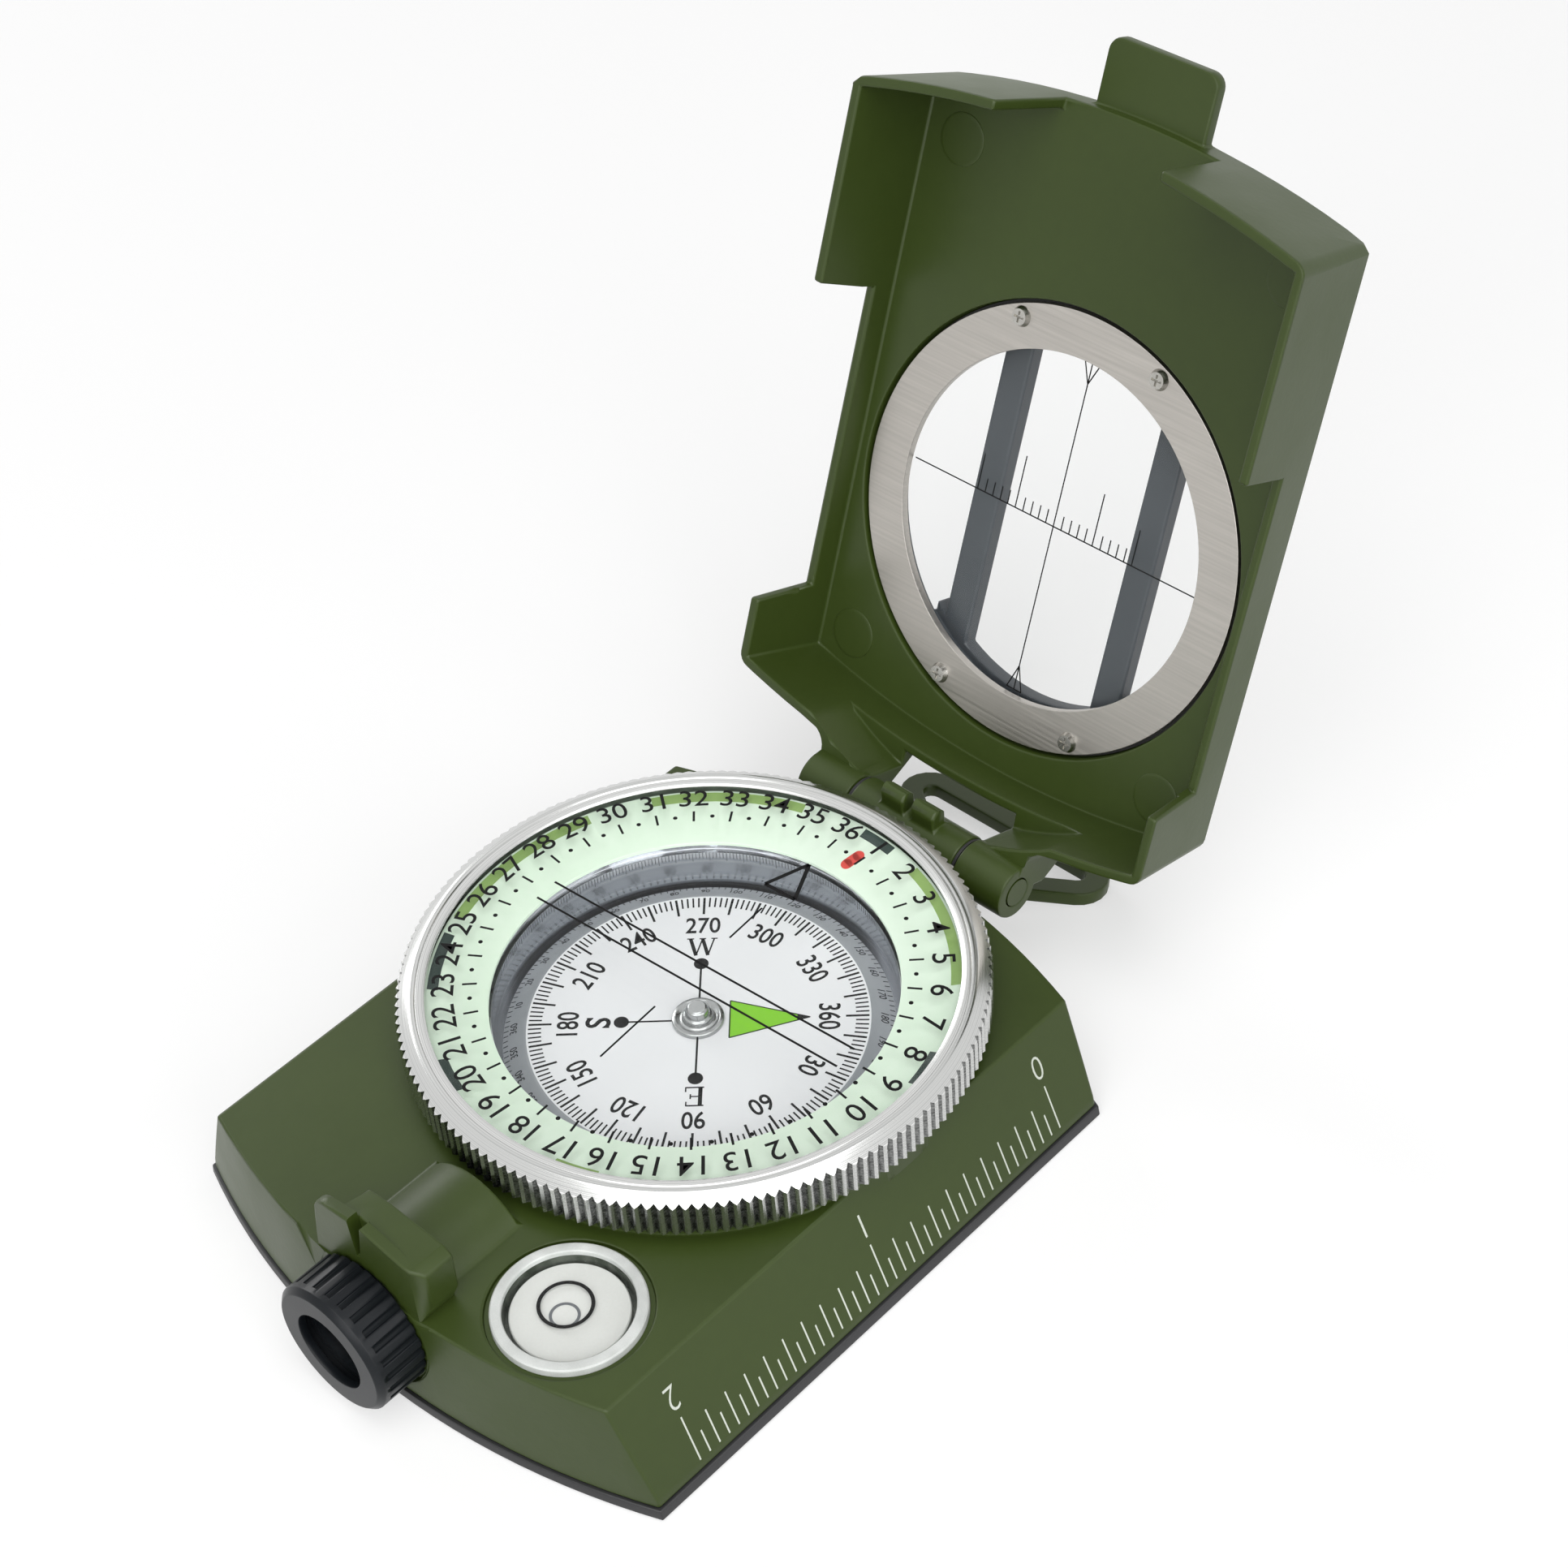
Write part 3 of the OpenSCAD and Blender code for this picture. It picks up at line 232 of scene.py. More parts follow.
def brushing_group() -> bpy.types.NodeTree:
    """Long fine scratches along the local X axis, as a height and a mask."""
    g = GroupBuilder("brushed_lines", {"Vector": None, "Scale": 1500.0, "Stretch": 0.02}, ("Height", "Mask"))
    split = g.add("ShaderNodeSeparateXYZ")
    g.link(g.source.outputs["Vector"], split.inputs[0])
    join = g.add("ShaderNodeCombineXYZ")
    g.link(g.math("MULTIPLY", split.outputs["X"], g.source.outputs["Stretch"]), join.inputs["X"])
    g.link(split.outputs["Y"], join.inputs["Y"])
    g.link(split.outputs["Z"], join.inputs["Z"])
    lines = g.noise(join.outputs[0], g.source.outputs["Scale"], 4.0)
    g.link(lines, g.sink.inputs["Height"])
    g.link(g.spread(lines, 0.0, 1.0), g.sink.inputs["Mask"])
    return g.tree


GROUPS = {
    made.name: made
    for made in (grain_group(), drift_group(), handling_group(), turning_group(), brushing_group())
}


# Finishes


class Sheet:
    """A material under construction: its Principled shader and its Object coordinates."""

    def __init__(self, name: str) -> None:
        """Makes the material with a plain shader.

        Args:
            name: Name of the material.
        """
        self.material = bpy.data.materials.new(name)
        self.material.use_nodes = True
        self.nodes = self.material.node_tree.nodes
        self.shader = self.nodes["Principled BSDF"]
        self.output = self.nodes["Material Output"]
        self.coords = self.nodes.new("ShaderNodeTexCoord").outputs["Object"]

    def set(self, **values: object) -> None:
        """Sets sockets of the shader, whose names have _ for a space."""
        for key, value in values.items():
            self.shader.inputs[key.replace("_", " ")].default_value = value

    def link(self, start: bpy.types.NodeSocket, end: bpy.types.NodeSocket) -> None:
        """Joins two sockets."""
        self.material.node_tree.links.new(start, end)

    def place(self, turn: tuple[float, float, float], centre: Vector) -> None:
        """Centres and turns the coordinates, so that a pattern's axes are the piece's own.

        Args:
            turn: Turn of the piece in degrees.
            centre: Centre of the piece, in metres.
        """
        node = self.nodes.new("ShaderNodeMapping")
        node.vector_type = "TEXTURE"
        node.inputs["Location"].default_value = centre
        node.inputs["Rotation"].default_value = [math.radians(a) for a in turn]
        self.link(self.coords, node.inputs["Vector"])
        self.coords = node.outputs["Vector"]

    def group(self, name: str, **values: object) -> bpy.types.Node:
        """Places a shader group on the coordinates.

        Args:
            name: Name of the group.
            values: Values of its inputs.

        Returns:
            The group's node.
        """
        node = self.nodes.new("ShaderNodeGroup")
        node.node_tree = GROUPS[name]
        self.link(self.coords, node.inputs["Vector"])
        for key, value in values.items():
            node.inputs[key].default_value = (*value, 1.0) if isinstance(value, tuple) else value
        return node

    def bump(self, height: bpy.types.NodeSocket, depth: float) -> None:
        """Feeds a height in millimetres to the shader's normal."""
        node = self.nodes.new("ShaderNodeBump")
        node.inputs["Distance"].default_value = depth * MM
        node.inputs["Strength"].default_value = 1.0
        self.link(height, node.inputs["Height"])
        self.link(node.outputs["Normal"], self.shader.inputs["Normal"])


MADE: dict[str, bpy.types.Material] = {}


@dataclass(frozen=True)
class Finish:
    """A finish, built once and shared by all pieces that have it."""

    name: str

    def material(self) -> bpy.types.Material:
        """Returns the finish's material, building it on first use."""
        if self.name not in MADE:
            MADE[self.name] = self.build()
        return MADE[self.name]

    def build(self) -> bpy.types.Material:
        """Builds the material."""
        raise NotImplementedError


@dataclass(frozen=True)
class Coating(Finish):
    """Paint, plastic, rubber or ink: a coloured, non-metal surface with grain and uneven gloss."""

    deep: Colour = (0.1, 0.1, 0.1)
    pale: Colour = (0.12, 0.12, 0.12)
    drift: float = 40.0
    gloss: tuple[float, float] = (0.4, 0.5)
    grain: float = 900.0
    grain_depth: float = 0.01
    swell: float = 0.4
    specular: float = 0.5

    def build(self) -> bpy.types.Material:
        """Builds the material."""
        sheet = Sheet(self.name)
        sheet.set(Specular_IOR_Level=self.specular)
        tone = sheet.group("tone_drift", Scale=self.drift, Deep=self.deep, Pale=self.pale)
        sheet.link(tone.outputs["Color"], sheet.shader.inputs["Base Color"])
        rough = sheet.group("handled_gloss", Low=self.gloss[0], High=self.gloss[1])
        sheet.link(rough.outputs["Roughness"], sheet.shader.inputs["Roughness"])
        grain = sheet.group("fine_grain", Scale=self.grain, Swell=self.swell)
        sheet.bump(grain.outputs["Height"], self.grain_depth)
        return sheet.material


@dataclass(frozen=True)
class Metal(Finish):
    """Bare metal, plain, turned about an axis or brushed."""

    deep: Colour = (0.6, 0.6, 0.6)
    pale: Colour = (0.8, 0.8, 0.8)
    gloss: tuple[float, float] = (0.2, 0.35)
    pattern: Pattern = Pattern.PLAIN
    lines: float = 5000.0
    depth: float = 0.002
    turn: tuple[float, float, float] = (0.0, 0.0, 0.0)
    centre: Colour = (0.0, 0.0, 0.0)

    def build(self) -> bpy.types.Material:
        """Builds the material."""
        sheet = Sheet(self.name)
        sheet.set(Metallic=1.0)
        sheet.place(self.turn, Vector(self.centre))
        if self.pattern is Pattern.PLAIN:
            worked = sheet.group("fine_grain", Scale=self.lines)
            tone = sheet.group("tone_drift", Scale=120.0, Deep=self.deep, Pale=self.pale)
            sheet.link(tone.outputs["Color"], sheet.shader.inputs["Base Color"])
            rough = sheet.group("handled_gloss", Scale=200.0, Low=self.gloss[0], High=self.gloss[1])
            sheet.link(rough.outputs["Roughness"], sheet.shader.inputs["Roughness"])
        else:
            name = "turning_rings" if self.pattern is Pattern.TURNED else "brushed_lines"
            worked = sheet.group(name, Scale=self.lines)
            mix = sheet.nodes.new("ShaderNodeMix")
            mix.data_type = "RGBA"
            mix.inputs["A"].default_value = (*self.deep, 1.0)
            mix.inputs["B"].default_value = (*self.pale, 1.0)
            sheet.link(worked.outputs["Mask"], mix.inputs["Factor"])
            sheet.link(mix.outputs["Result"], sheet.shader.inputs["Base Color"])
            rough = sheet.nodes.new("ShaderNodeMapRange")
            rough.inputs["To Min"].default_value, rough.inputs["To Max"].default_value = self.gloss
            sheet.link(worked.outputs["Mask"], rough.inputs["Value"])
            sheet.link(rough.outputs["Result"], sheet.shader.inputs["Roughness"])
        sheet.bump(worked.outputs["Height"], self.depth)
        return sheet.material


@dataclass(frozen=True)
class Pane(Finish):
    """A thin flat pane: what is behind it shows straight through, and its faces reflect."""

    tint: Colour = (0.997, 0.999, 0.998)
    gloss: tuple[float, float] = (0.02, 0.05)
    bend: float = 1.15

    def build(self) -> bpy.types.Material:
        """Builds the material."""
        sheet = Sheet(self.name)
        sheet.set(Base_Color=(1.0, 1.0, 1.0, 1.0), Metallic=1.0)
        rough = sheet.group("handled_gloss", Scale=90.0, Low=self.gloss[0], High=self.gloss[1])
        sheet.link(rough.outputs["Roughness"], sheet.shader.inputs["Roughness"])
        clear = sheet.nodes.new("ShaderNodeBsdfTransparent")
        clear.inputs["Color"].default_value = (*self.tint, 1.0)
        facing = sheet.nodes.new("ShaderNodeNewGeometry")
        index = sheet.nodes.new("ShaderNodeMapRange")
        index.inputs["To Min"].default_value = self.bend
        index.inputs["To Max"].default_value = 1.0 / self.bend
        sheet.link(facing.outputs["Backfacing"], index.inputs["Value"])
        fresnel = sheet.nodes.new("ShaderNodeFresnel")
        sheet.link(index.outputs["Result"], fresnel.inputs["IOR"])
        mix = sheet.nodes.new("ShaderNodeMixShader")
        sheet.link(fresnel.outputs[0], mix.inputs[0])
        sheet.link(clear.outputs[0], mix.inputs[1])
        sheet.link(sheet.shader.outputs[0], mix.inputs[2])
        sheet.link(mix.outputs[0], sheet.output.inputs["Surface"])
        return sheet.material


@dataclass(frozen=True)
class Glass(Finish):
    """A thick clear piece that bends light, and lets the lamps' light through."""

    tint: Colour = (0.95, 0.98, 0.97)
    gloss: tuple[float, float] = (0.0, 0.03)
    bend: float = 1.45

    def build(self) -> bpy.types.Material:
        """Builds the material."""
        sheet = Sheet(self.name)
        sheet.set(Base_Color=(*self.tint, 1.0), Transmission_Weight=1.0, IOR=self.bend)
        rough = sheet.group("handled_gloss", Scale=120.0, Low=self.gloss[0], High=self.gloss[1])
        sheet.link(rough.outputs["Roughness"], sheet.shader.inputs["Roughness"])
        clear = sheet.nodes.new("ShaderNodeBsdfTransparent")
        clear.inputs["Color"].default_value = (*self.tint, 1.0)
        path = sheet.nodes.new("ShaderNodeLightPath")
        mix = sheet.nodes.new("ShaderNodeMixShader")
        sheet.link(path.outputs["Is Shadow Ray"], mix.inputs[0])
        sheet.link(sheet.shader.outputs[0], mix.inputs[1])
        sheet.link(clear.outputs[0], mix.inputs[2])
        sheet.link(mix.outputs[0], sheet.output.inputs["Surface"])
        return sheet.material


OLIVE = Coating(
    "olive_enamel", deep=(0.030, 0.048, 0.0065), pale=(0.037, 0.058, 0.009), drift=22.0, gloss=(0.34, 0.44),
    grain=1400.0, grain_depth=0.010, swell=0.8, specular=0.35,
)
BLACK_PLATE = Coating(
    "plate_lacquer", deep=(0.012, 0.012, 0.013), pale=(0.020, 0.020, 0.022), gloss=(0.42, 0.55),
)
ANODISED = Coating(
    "ring_anodising", deep=(0.004, 0.005, 0.007), pale=(0.008, 0.010, 0.012), gloss=(0.26, 0.38),
    grain=2500.0, grain_depth=0.004, specular=0.22,
)
RUBBER = Coating("soft_rubber", deep=(0.010, 0.010, 0.010), pale=(0.016, 0.016, 0.016), gloss=(0.6, 0.7))
BLACK_INK = Coating(
    "black_ink", deep=(0.006, 0.006, 0.006), pale=(0.011, 0.011, 0.011), gloss=(0.5, 0.6), specular=0.1,
)
PALE_INK = Coating("pale_grey_ink", deep=(0.52, 0.56, 0.48), pale=(0.66, 0.70, 0.62), gloss=(0.45, 0.6))
# Dark grey ink of the cup's marks; also the painted dark rim that stands for the level's bubble
GREY_INK_AND_BUBBLE_SHADE = Coating("dark_grey_ink_and_bubble_shade", deep=(0.10, 0.11, 0.12), pale=(0.15, 0.16, 0.17), gloss=(0.45, 0.6))
# Painted dark shade in arcs at the outer edge of the green ring
DARK_RING_SHADE = Coating("painted_dark_shade", deep=(0.012, 0.028, 0.022), pale=(0.02, 0.042, 0.034), gloss=(0.4, 0.5))
RED_INK = Coating("red_ink", deep=(0.55, 0.03, 0.02), pale=(0.72, 0.07, 0.05), gloss=(0.4, 0.55))
LIME_INK = Coating("lime_ink", deep=(0.21, 0.60, 0.012), pale=(0.27, 0.70, 0.02), gloss=(0.4, 0.5))
# Painted green-tinted shade in arcs at the outer edge of the green ring
GREEN_RING_SHADE = Coating("painted_green_shade", deep=(0.22, 0.36, 0.10), pale=(0.30, 0.46, 0.14), gloss=(0.4, 0.5))
LUME = Coating(
    "glow_paint", deep=(0.73, 0.90, 0.72), pale=(0.80, 0.93, 0.79), gloss=(0.4, 0.5), grain=1800.0,
    grain_depth=0.004,
)
WHITE = Coating(
    "card_lacquer", deep=(0.92, 0.93, 0.95), pale=(0.95, 0.955, 0.97), gloss=(0.35, 0.45), grain=1500.0,
    grain_depth=0.002,
)
SKIRT = Coating("flange_grey", deep=(0.30, 0.32, 0.34), pale=(0.40, 0.42, 0.44), gloss=(0.3, 0.4))
DISH = Coating(
    "dish_lacquer", deep=(0.66, 0.67, 0.64), pale=(0.76, 0.77, 0.74), drift=120.0, gloss=(0.3, 0.4),
)
# Painted shade with fine streaks of painted reflection, for the level's groove wall
GROOVE_SHADE = Coating(
    "painted_groove_shade", deep=(0.02, 0.03, 0.018), pale=(0.16, 0.18, 0.15), drift=700.0, gloss=(0.12, 0.3),
    grain=1500.0,
)
FROST = Coating(
    "frosted_rim", deep=(0.50, 0.52, 0.50), pale=(0.74, 0.76, 0.74), drift=300.0, gloss=(0.25, 0.4),
)
# Painted shade and reflection, in dark slate grey, on the lid's bars and window wall behind the glass
BAR_SHADE = Coating("painted_bar_shade_and_reflection", deep=(0.050, 0.058, 0.066), pale=(0.070, 0.080, 0.090), gloss=(0.4, 0.5))
JEWEL = Glass("ruby", tint=(0.75, 0.25, 0.32), bend=1.7)
BRIGHT = Metal(
    "turned_bright", deep=(0.46, 0.47, 0.46), pale=(0.72, 0.72, 0.71), gloss=(0.15, 0.27),
    pattern=Pattern.TURNED, lines=9000.0, depth=0.0012,
)
# Painted shade and dark reflection in the valleys between the bezel's teeth, as a darker metal
VALLEY_SHADE = Metal(
    "painted_valley_shade", deep=(0.09, 0.092, 0.09), pale=(0.30, 0.305, 0.30), gloss=(0.2, 0.34),
    pattern=Pattern.TURNED, lines=3000.0,
)
CUP_METAL = Metal(
    "cup_metal", deep=(0.66, 0.68, 0.72), pale=(0.88, 0.90, 0.93), gloss=(0.12, 0.30),
    pattern=Pattern.TURNED, lines=2500.0, depth=0.004,
)
CAP_METAL = Metal(
    "cap_metal", deep=(0.36, 0.37, 0.37), pale=(0.52, 0.53, 0.53), gloss=(0.14, 0.24),
    pattern=Pattern.TURNED, lines=4000.0, depth=0.001,
)
STEEL = Metal(
    "screw_steel", deep=(0.36, 0.35, 0.32), pale=(0.56, 0.55, 0.52), gloss=(0.14, 0.26), lines=2500.0,
)
BRASS = Metal(
    "turned_brass", deep=(0.62, 0.47, 0.20), pale=(0.78, 0.62, 0.32), gloss=(0.2, 0.3), lines=2500.0,
)
PANE = Pane("clear_pane")
LENS = Glass("lens_glass", tint=(0.90, 0.95, 0.95), bend=1.5)


# Modelling


def box_mm(node: str) -> tuple[Vector, Vector]:
    """Returns a node's lowest and highest corner, in millimetres."""
    low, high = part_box(node)
    return low / MM, high / MM


def finish_piece(
    name: str,
    bm: bmesh.types.BMesh,
    finish: Finish,
    body: Body,
    stands_for: tuple[str, ...] = (),
    crease: float = 32.0,
) -> bpy.types.Object:
    """Makes an object of a mesh that is in its place, and reports it.

    Args:
        name: Name of the piece.
        bm: Its mesh in metres, which is freed.
        finish: Its finish.
        body: The body it rides on.
        stands_for: The nodes it replaces.
        crease: Angle in degrees over which an edge stays sharp.

    Returns:
        The object.
    """
    for face in bm.faces:
        face.smooth = True
    mesh = bpy.data.meshes.new(name)
    bm.to_mesh(mesh)
    bm.free()
    mesh.set_sharp_from_angle(angle=math.radians(crease))
    mesh.materials.append(finish.material())
    piece = bpy.data.objects.new(name, mesh)
    bpy.context.scene.collection.objects.link(piece)
    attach(piece, body.value)
    if stands_for:
        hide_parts(*stands_for)
    level = piece.modifiers.new("flat_faces_rule", "WEIGHTED_NORMAL")
    level.keep_sharp = True
    level.weight = 90
    LOG.info("%s: %d faces on %s", name, len(mesh.polygons), body.value)
    return piece


def merged_copy(node: str) -> bmesh.types.BMesh:
    """Returns a node's mesh with its doubles merged and its faces outwards."""
    bm = bmesh.new()
    bm.from_mesh(frame["nodes"][node].data)
    bmesh.ops.remove_doubles(bm, verts=bm.verts, dist=0.0005 * MM)
    bmesh.ops.recalc_face_normals(bm, faces=bm.faces)
    return bm


def flat_outline(face: bmesh.types.BMFace) -> list[Vector]:
    """Returns a face's corners seen along its normal, in millimetres."""
    turn = face.normal.to_track_quat("Z", "Y").to_matrix().transposed()
    return [(turn @ (v.co / MM)).to_2d() for v in face.verts]


def side_of(a: Vector, b: Vector, c: Vector) -> float:
    """Returns twice the signed area of a flat triangle."""
    return (b.x - a.x) * (c.y - a.y) - (b.y - a.y) * (c.x - a.x)


# Least signed areas, in square millimetres, of a twisted strip's corner and of two crossing sides
TWIST = 0.0004
CROSSING = 1e-9


def folds(bm: bmesh.types.BMesh) -> list[Vector]:
    """Finds faces whose outline crosses itself, and strips that are twisted.

    Args:
        bm: The mesh.

    Returns:
        The places of the faults, in metres.
    """
    bm.normal_update()
    found = []
    for face in bm.faces:
        corners = flat_outline(face)
        count = len(corners)
        if count == 4:
            turns = [side_of(corners[i - 1], corners[i], corners[(i + 1) % 4]) for i in range(4)]
            if min(turns) < -TWIST:
                found.append(face.calc_center_median())
        if count < 5:
            continue
        for i in range(count):
            a, b = corners[i], corners[(i + 1) % count]
            for j in range(i + 2, count - (i == 0)):
                c, d = corners[j], corners[(j + 1) % count]
                if max(a.x, b.x) < min(c.x, d.x) or max(c.x, d.x) < min(a.x, b.x):
                    continue
                parted = side_of(a, b, c) * side_of(a, b, d) < -CROSSING
                if parted and side_of(c, d, a) * side_of(c, d, b) < -CROSSING:
                    found.append((face.verts[i].co + face.verts[j].co) / 2)
    return found


# Largest turn, in radians, between triangles of one flat face, and least turn of an edge that is bevelled
FLAT_TURN = math.radians(0.2)
SHARP_TURN = math.radians(30.0)
# Longest edge, in millimetres, that each attempt at a bevel may leave sharp for the next
LEFT_SHARP = (1.0, 1.5, 3.0, 5.0, 8.0, 12.0, 30.0, 200.0)
# How near a fold such an edge lies, in widths of the bevel, at first and more with each attempt
FIRST_REACH = 1.2
MORE_REACH = 0.4


def edge_gap(edge: bmesh.types.BMEdge, point: Vector) -> float:
    """Returns the distance from a point to an edge, in metres."""
    start, along = edge.verts[0].co, edge.verts[1].co - edge.verts[0].co
    share = max(0.0, min(1.0, (point - start).dot(along) / max(along.length_squared, 1e-12)))
    return (start + along * share - point).length


def join_flat(bm: bmesh.types.BMesh) -> None:
    """Joins the flat triangles of a mesh into whole faces."""
    bmesh.ops.dissolve_limit(
        bm, angle_limit=FLAT_TURN, verts=bm.verts, edges=bm.edges, use_dissolve_boundaries=False,
    )


def bevel_edges(bm: bmesh.types.BMesh, edges: list[bmesh.types.BMEdge], width: float, segments: int) -> None:
    """Bevels edges, also where the bevels of two edges meet.

    Args:
        bm: The mesh.
        edges: The edges.
        width: Width of the bevel.
        segments: Number of its steps.
    """
    bmesh.ops.bevel(
        bm, geom=edges, offset=width * MM, offset_type="OFFSET", segments=segments, profile=0.5,
        affect="EDGES", clamp_overlap=False, material=-1, loop_slide=False,
    )


def round_edges(bm: bmesh.types.BMesh, width: float, segments: int = 2) -> None:
    """Bevels the sharp edges, and leaves out the short ones where the bevel would fold.

    Args:
        bm: The mesh.
        width: Width of the bevel.
        segments: Number of its steps.
    """
    join_flat(bm)
    bm.edges.index_update()
    wanted = {e.index for e in bm.edges if len(e.link_faces) == 2 and e.calc_face_angle(0.0) > SHARP_TURN}
    trial = bm.copy()
    for attempt, longest in enumerate(LEFT_SHARP):
        trial.free()
        trial = bm.copy()
        trial.edges.ensure_lookup_table()
        bevel_edges(trial, [trial.edges[i] for i in wanted], width, segments)
        faults = folds(trial)
        LOG.info("bevel %.2f: %d edges, %d folds", width, len(wanted), len(faults))
        if not faults:
            break
        bm.edges.ensure_lookup_table()
        reach = (FIRST_REACH + MORE_REACH * attempt) * width * MM
        short = {i for i in wanted if bm.edges[i].calc_length() < longest * MM}
        wanted -= {i for i in short if any(edge_gap(bm.edges[i], f) < reach for f in faults)}
    bm.clear()
    mesh = bpy.data.meshes.new("bevelled")
    trial.to_mesh(mesh)
    trial.free()
    bm.from_mesh(mesh)
    bpy.data.meshes.remove(mesh)


def turned(profile: list[Point], steps: int = 96, closed: bool = True) -> bmesh.types.BMesh:
    """Spins a profile of radius and height about Z.

    Args:
        profile: Its points; one at radius 0 becomes a pole.
        steps: Number of steps round.
        closed: Whether the last point joins the first.

    Returns:
        The mesh, with its faces outwards.
    """
    bm = bmesh.new()
    points = [bm.verts.new((r * MM, 0.0, z * MM)) for r, z in profile]
    edges = [bm.edges.new(pair) for pair in zip(points, points[1:])]
    if closed:
        edges.append(bm.edges.new((points[-1], points[0])))
    bmesh.ops.spin(
        bm, geom=[*points, *edges], cent=(0, 0, 0), axis=(0, 0, 1), angle=2 * math.pi, steps=steps,
        use_merge=True,
    )
    bmesh.ops.remove_doubles(bm, verts=bm.verts, dist=0.0001 * MM)
    bmesh.ops.recalc_face_normals(bm, faces=bm.faces)
    return bm


def rounded(points: list[Point], radius: float, steps: int = 3) -> list[Point]:
    """Rounds the inner corners of an open line of points.

    Args:
        points: The line's points.
        radius: How far along each side a corner is cut, at most 0.45 of the side.
        steps: Number of steps in each corner.

    Returns:
        The rounded line.
    """
    out = [points[0]]
    for before, at, after in zip(points, points[1:], points[2:]):
        a, b, c = Vector(before), Vector(at), Vector(after)
        cut = min(radius, (a - b).length * 0.45, (c - b).length * 0.45)
        start, end = b + (a - b).normalized() * cut, b + (c - b).normalized() * cut
        for i in range(steps + 1):
            t = i / steps
            p = start * (1 - t) ** 2 + b * 2 * t * (1 - t) + end * t**2
            out.append((p.x, p.y))
    out.append(points[-1])
    return out


